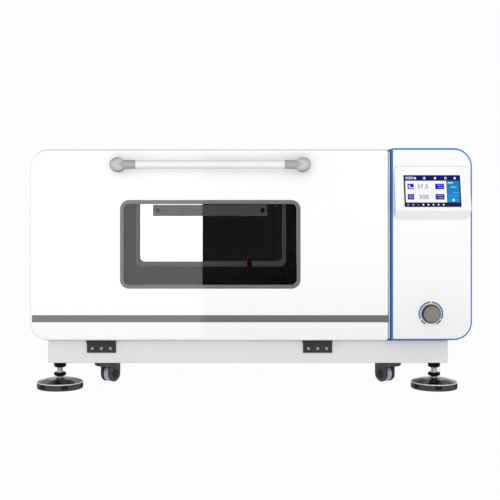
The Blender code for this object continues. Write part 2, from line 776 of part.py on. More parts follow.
def caster(place, x, y, turn):
    """A hooded wheel on a swivel head; it is built along +X and then turned about its head."""
    head_top = PLINTH_BOTTOM - CASTER_PLATE_THICKNESS - GAP
    hood_top = head_top - HOOD_HEAD_HEIGHT
    wheel_z = WHEEL_CENTRE_HEIGHT
    half = HOOD_WIDTH / 2
    reach = math.degrees(math.asin(HOOD_DROP / HOOD_RADIUS))
    centre = (CASTER_TRAIL, wheel_z)
    back = arc(centre, HOOD_RADIUS, -reach, 0, 3)
    front = arc(centre, HOOD_RADIUS, 180, 180 + reach, 3)
    top = [(CASTER_TRAIL + HOOD_RADIUS, hood_top), (CASTER_TRAIL - HOOD_RADIUS, hood_top)]
    hood = prism(f"caster_fork_{place}", [back + top + front], -half, half, "front")
    head = rod(f"caster_head_{place}", HOOD_HEAD_RADIUS, (0, 0), hood_top - BITE, head_top)
    slot_top = wheel_z + WHEEL_RADIUS + WHEEL_SLOT_TOP
    slot = box(
        f"wheel_slot_{place}",
        (CASTER_TRAIL - HOOD_RADIUS - CLEAR, -WHEEL_WIDTH / 2 - WHEEL_SLOT_SIDE, 0),
        (CASTER_TRAIL + HOOD_RADIUS + CLEAR, WHEEL_WIDTH / 2 + WHEEL_SLOT_SIDE, slot_top),
    )
    axle = rod(f"caster_axle_{place}", AXLE_RADIUS, centre, BITE - half, half - BITE, "front", 16)
    join(hood, head)
    cut(hood, slot)
    join(hood, axle)
    wheel_half = WHEEL_WIDTH / 2
    tread = WHEEL_TREAD_EDGE
    wheel = turned(
        f"caster_wheel_{place}",
        [
            (AXLE_RADIUS + GAP, wheel_half),
            (WHEEL_RADIUS - tread, wheel_half),
            (WHEEL_RADIUS, wheel_half - tread),
            (WHEEL_RADIUS, tread - wheel_half),
            (WHEEL_RADIUS - tread, -wheel_half),
            (AXLE_RADIUS + GAP, -wheel_half),
        ],
        centre,
        facing="front",
    )
    head_turn = Matrix.Translation((x, y, 0)) @ Matrix.Rotation(math.radians(turn), 4, "Z")
    for piece in (hood, head, slot, axle, wheel):
        piece.matrix_world = head_turn @ piece.matrix_basis
    swivel = pivot(f"caster_axis_{place}", (x, y, 0), [hood])
    pivot(f"wheel_axis_{place}", head_turn @ Vector((CASTER_TRAIL, 0, wheel_z)), [wheel], swivel)
    finish(hood, "dark grey paint")
    finish(wheel, "wheel")


# Cabinet


def hub_holes(name, low, high, radius):
    return [rod(f"{name}_{crank}", radius, place, low, high) for crank, place in CRANKS.items()]


def motor_hole(name, low, high):
    return rod(name, MOTOR_RADIUS + MOTOR_CLEARANCE, (MOTOR_X, CRANK_Y), low, high)


def cabinet_shell():
    rect = shell_rect()
    rings = [rect.points(), rect.inset(SHEET).points()]
    shell = prism("cabinet_shell", rings, SHELL_FRONT, SHELL_BACK)
    low, high = SHELL_BOTTOM - CLEAR, SHELL_BOTTOM + SHEET + CLEAR
    cut(shell, *hub_holes("shell_hub_hole", low, high, HUB_RADIUS + HUB_CLEARANCE))
    cut(shell, motor_hole("shell_motor_hole", low, high))
    smooth(shell)
    return finish(shell, "blue paint")


def liner_outer():
    return chamber_rect().inset(-SHEET)


def chamber_liner():
    flange_rect = shell_rect().inset(SHEET + GAP)
    chamber = chamber_rect()
    liner = prism("chamber_liner", [flange_rect.points()], SHELL_FRONT, SHELL_FRONT + SHEET)
    tub = prism("liner_tub", [liner_outer().points()], SHELL_FRONT + SHEET / 2, LINER_BACK + SHEET)
    space = prism("liner_space", [chamber.points()], SHELL_FRONT - CLEAR, LINER_BACK)
    join(liner, tub)
    cut(liner, space)
    low, high = LINER_FLOOR - SHEET - CLEAR, LINER_FLOOR + CLEAR
    cut(liner, *hub_holes("liner_hub_hole", low, high, CRANK_SHAFT_RADIUS + SHAFT_CLEARANCE))
    shaft = rod(
        "liner_fan_hole",
        FAN_SHAFT_RADIUS + FAN_SHAFT_CLEARANCE,
        (CHAMBER_CENTRE_X, FAN_Z),
        LINER_BACK - CLEAR,
        LINER_BACK + SHEET + CLEAR,
        "front",
        20,
    )
    cut(liner, shaft)
    for name, place, radius in (
        ("selector_passage", (SELECTOR_X, SELECTOR_Z), ENCODER_SIZE),
        ("screen_passage", (SELECTOR_X, (HOUSING_LOW + HOUSING_HIGH) / 2), ENCODER_SIZE),
    ):
        cut(liner, rod(name, radius, place, SHELL_FRONT - CLEAR, SHELL_FRONT + SHEET + CLEAR, "front"))
    smooth(liner)
    return finish(liner, "brushed steel")


def insulation_right():
    return liner_outer().right + DRIVE_BAY_WALL


def insulation():
    shell = shell_rect().inset(SHEET + GAP)
    radius = SHELL_RADIUS - SHEET - GAP
    rect = Rect(shell.left, insulation_right(), shell.low, shell.high, (radius, 0.0, 0.0, radius))
    front = SHELL_FRONT + SHEET + GAP
    block = prism("insulation", [rect.points()], front, SHELL_BACK)
    well_back = LINER_BACK + SHEET + GAP
    well = prism("insulation_well", [liner_outer().inset(-GAP).points()], front - CLEAR, well_back)
    cut(block, well)
    low = SHELL_BOTTOM - CLEAR
    cut(block, *hub_holes("insulation_hub_hole", low, LINER_FLOOR, HUB_RADIUS + HUB_CLEARANCE))
    motor = rod(
        "insulation_fan_hole",
        FAN_MOTOR_RADIUS + FAN_MOTOR_CLEARANCE,
        (CHAMBER_CENTRE_X, FAN_Z),
        LINER_BACK,
        SHELL_BACK + CLEAR,
        "front",
    )
    cut(block, motor)
    smooth(block)
    return finish(block, "foam")


def rear_cover():
    cover = prism("rear_cover", [shell_rect().points()], REAR_FACE - REAR_COVER_THICKNESS, REAR_FACE)
    near, far = SHELL_BACK - CLEAR, REAR_FACE + CLEAR
    half = LOUVRE_LENGTH / 2
    for index in range(LOUVRE_COUNT):
        low = LOUVRE_LOW + index * LOUVRE_PITCH
        slot = even_rect(REAR_ROW_X - half, REAR_ROW_X + half, low, low + LOUVRE_HEIGHT, LOUVRE_HEIGHT / 2.01)
        cut(cover, prism(f"louvre_{index + 1}", [slot.points()], near, far))
    cut(cover, prism("inlet_hole", [inlet_rect().inset(-GAP).points()], near, far))
    cut(cover, rod("gas_hole", GAS_RADIUS + GAP, (REAR_ROW_X, GAS_Z), near, far, "front", 16))
    smooth(cover)
    return finish(cover, "grey paint")


def inlet_rect():
    half_width, half_height = INLET_WIDTH / 2, INLET_HEIGHT / 2
    low, high = INLET_Z - half_height, INLET_Z + half_height
    return even_rect(REAR_ROW_X - half_width, REAR_ROW_X + half_width, low, high, INLET_RADIUS)


def power_inlet():
    rect = inlet_rect()
    flange_back = REAR_FACE + GAP + INLET_FLANGE_THICKNESS
    flange = prism("power_inlet", [rect.inset(-INLET_FLANGE).points()], REAR_FACE + GAP, flange_back)
    join(flange, prism("inlet_body", [rect.points()], REAR_FACE - INLET_BODY_DEPTH, flange_back - BITE))
    recess_front = REAR_FACE - INLET_RECESS_DEPTH
    recess = rect.inset(INLET_WALL)
    cut(flange, prism("inlet_recess", [recess.points()], recess_front, flange_back + CLEAR))
    pins = (
        (-INLET_PIN_SPACING, -INLET_PIN_DROP),
        (INLET_PIN_SPACING, -INLET_PIN_DROP),
        (0.0, INLET_PIN_RISE),
    )
    for index, (x, z) in enumerate(pins):
        middle = Vector((REAR_ROW_X + x, 0, INLET_Z + z))
        half = Vector((INLET_PIN_HALF_WIDTH, 0, INLET_PIN_HALF_HEIGHT))
        low = middle - half + Vector((0, recess_front - BITE, 0))
        high = middle + half + Vector((0, REAR_FACE - INLET_PIN_SETBACK, 0))
        join(flange, box(f"inlet_pin_{index + 1}", low, high))
    return finish(flange, "black plastic")


def gas_inlet():
    """A barbed gas port: its nut bears on the rear cover and its tail passes inside."""
    tip = REAR_REACH - GAS_NUT_THICKNESS - GAP
    profile = [(GAS_BORE_RADIUS * 0.8, tip)]
    for index in range(2):
        top = tip - index * GAS_BARB_PITCH
        profile += [(GAS_NECK_RADIUS, top), (GAS_BARB_RADIUS, top - GAS_BARB_PITCH)]
    profile += [
        (GAS_NECK_RADIUS, tip - 2 * GAS_BARB_PITCH),
        (GAS_NECK_RADIUS, 0),
        (GAS_RADIUS, 0),
        (GAS_RADIUS, -GAS_TAIL_LENGTH),
        (GAS_BORE_RADIUS * 0.8, -GAS_TAIL_LENGTH),
    ]
    place = (REAR_ROW_X, GAS_Z)
    barb = turned("gas_inlet", profile, place, facing="front", steps=14)
    barb.rotation_euler = Euler((math.radians(-90), 0, 0))
    nut_back = REAR_FACE + GAP + GAS_NUT_THICKNESS
    barb.location = (REAR_ROW_X, nut_back, GAS_Z)
    hex_nut = rod("gas_nut", GAS_NUT_RADIUS, place, REAR_FACE + GAP, nut_back, "front", 6)
    inner_end = nut_back - GAS_TAIL_LENGTH - CLEAR
    bore = rod("gas_bore", GAS_BORE_RADIUS, place, inner_end, nut_back + REAR_REACH, "front", 16)
    join(barb, hex_nut)
    cut(barb, bore)
    return finish(barb, "brass")


def control_unit():
    right = shell_rect().right - SHEET - GAP
    front = SHELL_FRONT + CONTROL_UNIT_SETBACK
    low = (right - CONTROL_UNIT_THICKNESS, front, CONTROL_UNIT_LOW)
    high = (right, front + CONTROL_UNIT_LENGTH, CONTROL_UNIT_LOW + CONTROL_UNIT_HEIGHT)
    return finish(box("control_unit", low, high), "zinc")


# Air duct, fan and what hangs before the duct


def duct_cover():
    rect = chamber_rect().inset(DUCT_COVER_MARGIN)
    cover = prism("duct_cover", [rect.points()], DUCT_COVER_FRONT, LINER_BACK - GAP)
    inside = rect.inset(SHEET)
    cut(cover, prism("duct_hollow", [inside.points()], DUCT_COVER_FRONT + SHEET, LINER_BACK + CLEAR))
    near, far = DUCT_COVER_FRONT - CLEAR, DUCT_COVER_FRONT + SHEET + CLEAR
    cut(cover, rod("duct_intake", DUCT_INTAKE_RADIUS, (CHAMBER_CENTRE_X, FAN_Z), near, far, "front"))
    smooth(cover)
    return finish(cover, "black plastic")


def duct_panel():
    rect = even_rect(MIRROR_LEFT, MIRROR_RIGHT, MIRROR_LOW, MIRROR_HIGH, MIRROR_RADIUS)
    panel = prism("duct_panel", [rect.points()], MIRROR_FRONT, MIRROR_FRONT + MIRROR_THICKNESS)
    smooth(panel)
    return finish(panel, "mirror steel")


def air_baffle():
    near = MIRROR_FRONT - BAFFLE_SETOFF
    far = near + BAFFLE_THICKNESS
    middle = (BAFFLE_LOW + BAFFLE_HIGH) / 2
    rect = even_rect(BAFFLE_LEFT, BAFFLE_RIGHT, BAFFLE_LOW, BAFFLE_HIGH, BAFFLE_RADIUS)
    strip = prism("air_baffle", [rect.points()], near, far)
    for side, edge, inward in (("left", BAFFLE_LEFT, 1), ("right", BAFFLE_RIGHT, -1)):
        post = (edge + inward * BAFFLE_POST_INSET, middle)
        hole = (edge + inward * BAFFLE_HOLE_INSET, middle)
        seat = MIRROR_FRONT - GAP
        join(strip, rod(f"baffle_post_{side}", BAFFLE_POST_RADIUS, post, near + BITE, seat, "front"))
        start, end = near - CLEAR, far + CLEAR
        cut(strip, rod(f"baffle_hole_{side}", BAFFLE_HOLE_RADIUS, hole, start, end, "front"))
    smooth(strip)
    return finish(strip, "brushed steel")


def temperature_probe():
    y = MIRROR_FRONT - PROBE_SETOFF
    tip = PROBE_TIP
    probe = turned(
        "temperature_probe",
        [
            (0, PROBE_HIGH),
            (PROBE_RADIUS - tip, PROBE_HIGH),
            (PROBE_RADIUS, PROBE_HIGH - tip),
            (PROBE_RADIUS, PROBE_LOW + tip),
            (PROBE_RADIUS - tip, PROBE_LOW),
            (0, PROBE_LOW),
        ],
        (PROBE_X, y),
        steps=14,
    )
    stub = (PROBE_X, PROBE_HIGH - PROBE_STUB_DROP)
    join(probe, rod("probe_stub", PROBE_STUB_RADIUS, stub, y, MIRROR_FRONT - GAP, "front", 16))
    return finish(probe, "red plastic")


def fan():
    centre = (CHAMBER_CENTRE_X, FAN_Z)
    disc_front = FAN_BACK - SHEET
    disc_middle = FAN_BACK - SHEET / 2
    motor_front = LINER_BACK + SHEET + GAP
    shaft_end = motor_front + FAN_MOTOR_LENGTH / 2
    impeller = rod("fan_impeller", FAN_RADIUS, centre, disc_front, FAN_BACK, "front")
    join(impeller, rod("fan_hub", FAN_HUB_RADIUS, centre, FAN_FRONT, disc_middle, "front"))
    join(impeller, rod("fan_shaft", FAN_SHAFT_RADIUS, centre, disc_middle, shaft_end, "front", 14))
    half = FAN_BLADE_HALF_THICKNESS
    for index in range(FAN_BLADES):
        low = (FAN_RADIUS * 0.55, FAN_FRONT, -half)
        high = (FAN_RADIUS * 0.97, disc_middle, half)
        blade = box(f"fan_blade_{index + 1}", low, high)
        spin = Matrix.Rotation(2 * math.pi * index / FAN_BLADES, 4, "Y")
        blade.matrix_world = Matrix.Translation((centre[0], 0, centre[1])) @ spin @ blade.matrix_basis
        join(impeller, blade)
    motor = rod("fan_motor", FAN_MOTOR_RADIUS, centre, motor_front, motor_front + FAN_MOTOR_LENGTH, "front")
    bore_start, bore_end = motor_front - CLEAR, shaft_end + GAP
    cut(motor, rod("fan_motor_bore", FAN_SHAFT_RADIUS + GAP, centre, bore_start, bore_end, "front", 14))
    pivot("fan_axis", (centre[0], FAN_BACK, centre[1]), [impeller])
    finish(impeller, "zinc")
    finish(motor, "dark grey paint")


# Control column


def column():
    rect = column_rect()
    inside = rect.inset(TRIM_WIDTH)
    trim = prism(
        "column_trim", [rect.points(), inside.points()], DOOR_FRONT + TRIM_SETBACK, SHELL_FRONT - GAP
    )
    smooth(trim)
    finish(trim, "blue paint")
    cover = prism("column_cover", [inside.inset(GAP).points()], DOOR_FRONT, DOOR_FRONT + COVER_THICKNESS)
    half = COVER_THICKNESS / 2
    round_edges(cover, lambda edge: on_front(edge, half), COVER_EDGE, 2)
    near, far = DOOR_FRONT - CLEAR, DOOR_FRONT + COVER_THICKNESS + CLEAR
    cut(cover, rod("bush_hole", SELECTOR_BUSH_RADIUS + GAP, (SELECTOR_X, SELECTOR_Z), near, far, "front", 18))
    finish(cover, "white paint")


def housing_lean():
    rise = HOUSING_HIGH - HOUSING_LIP_Z
    return math.atan2(HOUSING_LIP_REACH - HOUSING_TOP_REACH, rise)


def face_frame():
    """The middle of the screen on the housing's leaning face, with its Y axis into the face."""
    z = (SCREEN_LOW + SCREEN_HIGH) / 2
    reach = HOUSING_TOP_REACH + (HOUSING_HIGH - z) * math.tan(housing_lean())
    place = Matrix.Translation(((SCREEN_LEFT + SCREEN_RIGHT) / 2, DOOR_FRONT - reach, z))
    return place @ Matrix.Rotation(-housing_lean(), 4, "X")


def screen_housing():
    foot = DOOR_FRONT - GAP
    side = [
        (foot, HOUSING_HIGH),
        (DOOR_FRONT - HOUSING_TOP_REACH, HOUSING_HIGH),
        (DOOR_FRONT - HOUSING_LIP_REACH, HOUSING_LIP_Z),
        (DOOR_FRONT - HOUSING_FOOT_REACH, HOUSING_LOW),
        (foot, HOUSING_LOW),
    ]
    housing = prism("screen_housing", [side], HOUSING_LEFT, HOUSING_RIGHT, "side")
    rect = even_rect(HOUSING_LEFT, HOUSING_RIGHT, HOUSING_LOW, HOUSING_HIGH, HOUSING_RADIUS)
    front = DOOR_FRONT - HOUSING_LIP_REACH - CLEAR
    trim_to(housing, prism("housing_outline", [rect.points()], front, DOOR_FRONT + CLEAR))
    soften = housing.modifiers.new("Soft edges", "BEVEL")
    soften.width = HOUSING_EDGE
    soften.segments = 2
    soften.limit_method = "ANGLE"
    soften.angle_limit = math.radians(25)
    soften.use_clamp_overlap = True
    half_width = (SCREEN_RIGHT - SCREEN_LEFT) / 2
    half_height = (SCREEN_HIGH - SCREEN_LOW) / 2 / math.cos(housing_lean())
    screen = box(
        "touch_screen",
        (-half_width, RECESS_DEPTH, -half_height),
        (half_width, RECESS_DEPTH + SCREEN_THICKNESS, half_height),
    )
    pocket = box(
        "screen_pocket",
        (-half_width - GAP, -CLEAR, -half_height - GAP),
        (half_width + GAP, RECESS_DEPTH + SCREEN_THICKNESS + GAP, half_height + GAP),
    )
    recess = box(
        "screen_recess",
        (-half_width - RECESS_MARGIN, -RECESS_DEPTH, -half_height - RECESS_MARGIN),
        (half_width + RECESS_MARGIN, RECESS_DEPTH, half_height + RECESS_MARGIN),
    )
    for vertex in recess.data.vertices:
        if vertex.co.y > 0:
            vertex.co.x *= half_width / (half_width + RECESS_MARGIN)
            vertex.co.z *= half_height / (half_height + RECESS_MARGIN)
    for piece in (screen, pocket, recess):
        piece.matrix_world = face_frame() @ piece.matrix_basis
    cut(housing, recess, pocket)
    finish(housing, "white paint")
    finish(screen, "screen")


def selector():
    centre = (SELECTOR_X, SELECTOR_Z)
    bezel_back = DOOR_FRONT - GAP
    bezel_front = bezel_back - SELECTOR_BEZEL_HEIGHT
    cover_back = DOOR_FRONT + COVER_THICKNESS
    encoder_front = cover_back + GAP
    bezel = rod("selector_bezel", SELECTOR_BEZEL_RADIUS, centre, bezel_front, bezel_back, "front", 32)
    bush_end = encoder_front + BITE
    bush = rod("selector_bush", SELECTOR_BUSH_RADIUS, centre, bezel_back - BITE, bush_end, "front", 18)
    half = ENCODER_SIZE / 2
    encoder = box(
        "selector_encoder",
        (SELECTOR_X - half, encoder_front, SELECTOR_Z - half),
        (SELECTOR_X + half, encoder_front + ENCODER_DEPTH, SELECTOR_Z + half),
    )
    join(bezel, bush, encoder)
    spindle_end = cover_back + ENCODER_DEPTH / 2
    bore_end = spindle_end + GAP
    cut(bezel, rod("spindle_bore", SPINDLE_RADIUS + GAP, centre, bezel_front - CLEAR, bore_end, "front", 14))
    knob_back = bezel_front - KNOB_PUSH - GAP
    knob_front = knob_back - KNOB_HEIGHT
    socket_end = knob_back - KNOB_HEIGHT / 2
    spindle_front = socket_end + KNOB_PUSH + GAP
    spindle = rod("selector_spindle", SPINDLE_RADIUS, centre, spindle_front, spindle_end, "front", 14)
    knob = rod("selector_knob", KNOB_RADIUS, centre, knob_front, knob_back, "front", 32)
    round_edges(knob, on_front_rim, KNOB_EDGE, 2)
    cut(knob, rod("knob_socket", SPINDLE_RADIUS + GAP, centre, socket_end, knob_back + CLEAR, "front", 14))
    turn = pivot("selector_axis", (SELECTOR_X, bezel_front, SELECTOR_Z), [spindle])
    pivot("selector_push_axis", (SELECTOR_X, knob_front, SELECTOR_Z), [knob], turn)
    finish(bezel, "dark grey paint")
    finish(spindle, "zinc")
    finish(knob, "brushed steel")


# Orbital drive, platform and tray


def drive_rect():
    places = list(CRANKS.values()) + [(MOTOR_X, CRANK_Y)]
    left = min(x for x, _ in places) - DRIVE_PLATE_MARGIN
    right = max(x for x, _ in places) + DRIVE_PLATE_MARGIN
    front = min(y for _, y in places) - DRIVE_PLATE_MARGIN
    back = max(y for _, y in places) + DRIVE_PLATE_MARGIN
    return even_rect(left, right, front, back, DRIVE_PLATE_RADIUS)


def drive_frame():
    rect = drive_rect()
    frame = prism("drive_frame", [rect.points()], DRIVE_PLATE_BOTTOM, DRIVE_PLATE_TOP, "plan")
    corners = rect.inset(2 * DRIVE_POST_RADIUS)
    floor = PLINTH_BOTTOM + PLINTH_FLOOR + GAP
    for side, x in (("left", corners.left), ("right", corners.right)):
        for end, y in (("front", corners.low), ("rear", corners.high)):
            post = rod(f"drive_post_{end}_{side}", DRIVE_POST_RADIUS, (x, y), floor, DRIVE_PLATE_TOP - BITE)
            join(frame, post)
    for crank, place in CRANKS.items():
        join(frame, rod(f"hub_{crank}", HUB_RADIUS, place, DRIVE_PLATE_BOTTOM + BITE, HUB_TOP))
    bores = {crank: (place, CRANK_SHAFT_RADIUS) for crank, place in CRANKS.items()}
    bores["motor"] = ((MOTOR_X, CRANK_Y), MOTOR_SHAFT_RADIUS)
    for name, (place, radius) in bores.items():
        cut(frame, rod(f"drive_bore_{name}", radius + GAP, place, PLINTH_BOTTOM, PIN_TOP, segments=14))
    smooth(frame)
    return finish(frame, "cast aluminium")


def pulley_heights():
    top = DRIVE_PLATE_BOTTOM - PULLEY_DROP
    return top - PULLEY_WIDTH, top


def pulley_profile(radius, bore):
    bottom, top = pulley_heights()
    rim = radius + PULLEY_FLANGE
    sheet = PULLEY_FLANGE_THICKNESS
    return [
        (bore, top),
        (rim, top),
        (rim, top - sheet),
        (radius, top - sheet),
        (radius, bottom + sheet),
        (rim, bottom + sheet),
        (rim, bottom),
        (bore, bottom),
    ]


def crank(name, place):
    """A shaft in its hub, a disc and a pin set off from the shaft by the orbit's radius."""
    bottom, _ = pulley_heights()
    if name != "crank_driven":
        bottom = DRIVE_PLATE_BOTTOM - GAP
    shaft = rod(name, CRANK_SHAFT_RADIUS, place, bottom, DISC_BOTTOM + BITE, segments=14)
    join(shaft, rod(f"{name}_disc", CRANK_DISC_RADIUS, place, DISC_BOTTOM, DISC_TOP))
    pin = (place[0] + ORBIT_RADIUS, place[1])
    join(shaft, rod(f"{name}_pin", CRANK_PIN_RADIUS, pin, DISC_TOP - BITE, PIN_TOP, segments=14))
    finish(shaft, "zinc")
    return pivot(f"{name}_axis", (*place, DISC_TOP), [shaft])


def belt_loop(offset):
    """The belt's run round the two pulleys, a distance off their rims."""
    driven_x, driven_y = CRANKS["crank_driven"]
    distance = MOTOR_X - driven_x
    lean = math.degrees(math.acos((PULLEY_RADIUS - MOTOR_PULLEY_RADIUS) / distance))
    large = arc((driven_x, driven_y), PULLEY_RADIUS + offset, lean, 360 - lean, 24)
    small = arc((MOTOR_X, CRANK_Y), MOTOR_PULLEY_RADIUS + offset, -lean, lean, 10)
    return large + small


def belt_drive(driven_axis):
    bottom, top = pulley_heights()
    driven_place = CRANKS["crank_driven"]
    driven = turned("driven_pulley", pulley_profile(PULLEY_RADIUS, CRANK_SHAFT_RADIUS + GAP), driven_place)
    driven.parent = driven_axis
    driven.matrix_parent_inverse = world_place(driven_axis).inverted()
    finish(driven, "cast aluminium")
    motor_place = (MOTOR_X, CRANK_Y)
    small = turned("motor_pulley", pulley_profile(MOTOR_PULLEY_RADIUS, 0.0), motor_place)
    motor_bottom = DRIVE_PLATE_TOP + GAP
    shaft_top = motor_bottom + MOTOR_HEIGHT / 3
    shaft_bottom = bottom + PULLEY_FLANGE_THICKNESS
    join(small, rod("motor_shaft", MOTOR_SHAFT_RADIUS, motor_place, shaft_bottom, shaft_top, segments=14))
    pivot("motor_axis", (*motor_place, bottom), [small])
    finish(small, "cast aluminium")
    body = rod("motor_body", MOTOR_RADIUS, motor_place, motor_bottom, motor_bottom + MOTOR_HEIGHT)
    radius = MOTOR_SHAFT_RADIUS + GAP
    cut(body, rod("motor_bore", radius, motor_place, PLINTH_BOTTOM, shaft_top + GAP, segments=14))
    finish(body, "dark grey paint")
    sheet = PULLEY_FLANGE_THICKNESS + GAP
    loops = [belt_loop(GAP + BELT_THICKNESS), belt_loop(GAP)]
    finish(prism("drive_belt", loops, bottom + sheet, top - sheet, "plan"), "rubber")


def tray_rect():
    """The tray at rest, with every crank's pin to the right of its shaft."""
    left = CHAMBER_LEFT + TRAY_SIDE_CLEARANCE + ORBIT_RADIUS
    right = CHAMBER_RIGHT - TRAY_SIDE_CLEARANCE + ORBIT_RADIUS
    return even_rect(left, right, TRAY_FRONT, TRAY_BACK, TRAY_RADIUS)


def platform_frame():
    tray = tray_rect()
    left, right = tray.left + TRAY_SIDE_OVERHANG, tray.right - TRAY_SIDE_OVERHANG
    low, high = tray.low + TRAY_END_OVERHANG, tray.high - TRAY_END_OVERHANG
    outer = even_rect(left, right, low, high, PLATFORM_RADIUS)
    inner = outer.inset(PLATFORM_BAR)
    frame = prism("platform_frame", [outer.points(), inner.points()], PLATFORM_BOTTOM, PLATFORM_TOP, "plan")
    rail_half = PLATFORM_BAR / 2
    for row, y in (("rear", CRANK_Y), ("front", CRANKS["crank_front"][1])):
        rail_low = (inner.left - 2 * BITE, y - rail_half, PLATFORM_BOTTOM + BITE)
        rail_high = (inner.right + 2 * BITE, y + rail_half, PLATFORM_TOP - BITE)
        join(frame, box(f"rail_{row}", rail_low, rail_high))
    pins = {name: (x + ORBIT_RADIUS, y) for name, (x, y) in CRANKS.items()}
    for name, place in pins.items():
        join(frame, rod(f"cup_{name}", CUP_RADIUS, place, PLATFORM_BOTTOM, PLATFORM_TOP - CUP_DROP))
    for name, place in pins.items():
        radius = CRANK_PIN_RADIUS + GAP
        cut(frame, rod(f"cup_bore_{name}", radius, place, DISC_TOP - CLEAR, PIN_TOP + GAP, segments=14))
    return finish(frame, "cast aluminium")


def shaker_tray():
    rect = tray_rect()
    bottom = PLATFORM_TOP + GAP
    tray = prism("shaker_tray", [rect.points()], bottom, bottom + TRAY_DEPTH, "plan")
    hollow = rect.inset(SHEET).points()
    cut(tray, prism("tray_hollow", [hollow], bottom + SHEET, bottom + 2 * TRAY_DEPTH, "plan"))
    smooth(tray)
    return finish(tray, "brushed steel")


def platform(driven_axis):
    driven_x, driven_y = CRANKS["crank_driven"]
    place = (driven_x + ORBIT_RADIUS, driven_y, DISC_TOP)
    pivot("platform_axis", place, [platform_frame(), shaker_tray()], driven_axis)


# Door


def hinge_notch(name, x, height):
    """The space in the door's bottom edge that the fixed knuckles stand in."""
    half = HINGE_WIDTH / 2 + HINGE_NOTCH_SIDE
    low = (x - half, DOOR_FRONT + HINGE_NOTCH_FRONT, DOOR_BOTTOM - CLEAR)
    return box(name, low, (x + half, DOOR_BACK + CLEAR, DOOR_BOTTOM + height))


def door_panel():
    rect = door_rect()
    skin_back = DOOR_BACK - SHEET - GAP
    panel = prism("door_panel", [rect.points()], DOOR_FRONT, skin_back)
    half = (skin_back - DOOR_FRONT) / 2
    fillet = min(DOOR_FILLET, 0.9 * DOOR_RIGHT_RADIUS)
    round_edges(panel, lambda edge: on_front(edge, half), fillet, 5)
    hollow = prism("door_hollow", [rect.inset(fillet).points()], DOOR_FRONT + SHEET, DOOR_BACK)
    rim = prism("door_rim_hollow", [rect.inset(SHEET).points()], DOOR_FRONT + fillet, DOOR_BACK + CLEAR)
    cut(panel, hollow, rim)
    hole = window_rect().inset(-GAP).points()
    cut(panel, prism("window_hole", [hole], DOOR_FRONT - CLEAR, DOOR_FRONT + SHEET + CLEAR))
    for side, x in (("left", HINGE_LEFT_X), ("right", HINGE_RIGHT_X)):
        cut(panel, hinge_notch(f"panel_notch_{side}", x, HINGE_NOTCH_HEIGHT))
    return finish(panel, "white paint")


def door_liner():
    """The door's inner skin, with the tunnel that runs from it to the window's bezel."""
    opening = window_rect().inset(BEZEL_WIDTH)
    tunnel_front = DOOR_FRONT + BEZEL_DEPTH + GAP
    liner = prism("door_liner", [door_rect().inset(GAP).points()], DOOR_BACK - SHEET, DOOR_BACK)
    tunnel = prism("window_tunnel", [opening.inset(-SHEET).points()], tunnel_front, DOOR_BACK - SHEET / 2)
    join(liner, tunnel)
    cut(liner, prism("tunnel_space", [opening.points()], DOOR_FRONT, DOOR_BACK + CLEAR))
    lip = HINGE_AXIS_RISE + KNUCKLE_RADIUS / 2
    for side, x in (("left", HINGE_LEFT_X), ("right", HINGE_RIGHT_X)):
        cut(liner, hinge_notch(f"liner_notch_{side}", x, lip))
    smooth(liner)
    return finish(liner, "white paint")


def door_gasket():
    outer = chamber_rect().inset(-GASKET_MARGIN - GASKET_WIDTH)
    inner = chamber_rect().inset(-GASKET_MARGIN)
    loops = [outer.points(), inner.points()]
    gasket = prism("door_gasket", loops, DOOR_BACK + GAP, DOOR_BACK + GASKET_THICKNESS)
    smooth(gasket)
    return finish(gasket, "rubber")


def window():
    rect = window_rect()
    opening = rect.inset(BEZEL_WIDTH)
    bezel = prism(
        "window_bezel", [rect.points(), opening.points()], DOOR_FRONT - BEZEL_PROUD, DOOR_FRONT + BEZEL_DEPTH
    )
    smooth(bezel)
    finish(bezel, "grey paint")
    pane = opening.inset(GAP)
    for name, setback in (("outer_glass", GLASS_SETBACK), ("inner_glass", INNER_GLASS_SETBACK)):
        front = DOOR_FRONT + setback
        finish(prism(name, [pane.points()], front, front + GLASS_THICKNESS), "glass")


def handle():
    bar_y = DOOR_FRONT - HANDLE_REACH + HANDLE_BAR_RADIUS
    front = DOOR_FRONT - HANDLE_REACH
    back = DOOR_FRONT - GAP
    for side, x, toward in (("left", HANDLE_LEFT_X, 1), ("right", HANDLE_RIGHT_X, -1)):
        post = rod(f"handle_mount_{side}", HANDLE_POST_RADIUS, (x, HANDLE_Z), front, back, "front", 24)
        round_edges(post, on_front_rim, HANDLE_POST_EDGE, 3)
        ends = sorted((x, x + toward * HANDLE_NECK_LENGTH))
        neck = rod(f"handle_neck_{side}", HANDLE_BAR_RADIUS - GAP, (bar_y, HANDLE_Z), *ends, "side", 20)
        join(post, neck)
        finish(post, "handle grey")
    start = HANDLE_LEFT_X + HANDLE_NECK_LENGTH + GAP
    end = HANDLE_RIGHT_X - HANDLE_NECK_LENGTH - GAP
    finish(rod("handle_bar", HANDLE_BAR_RADIUS, (bar_y, HANDLE_Z), start, end, "side", 24), "white paint")


def knuckle_arm():
    """Side view of a hinge arm: from the plate on the plinth round the knuckle and back."""
    back = PLINTH_FRONT - GAP
    front = back - HINGE_PLATE_THICKNESS
    low = PLINTH_TOP - HINGE_ARM_DROP
    behind = [(back, low), (back, PLINTH_TOP + HINGE_ARM_SHOULDER)]
    knuckle = arc((HINGE_AXIS_Y, HINGE_AXIS_Z), KNUCKLE_RADIUS, 20, 290, 9)
    return behind + knuckle + [(front, PLINTH_TOP - HINGE_ARM_NECK), (front, low)]


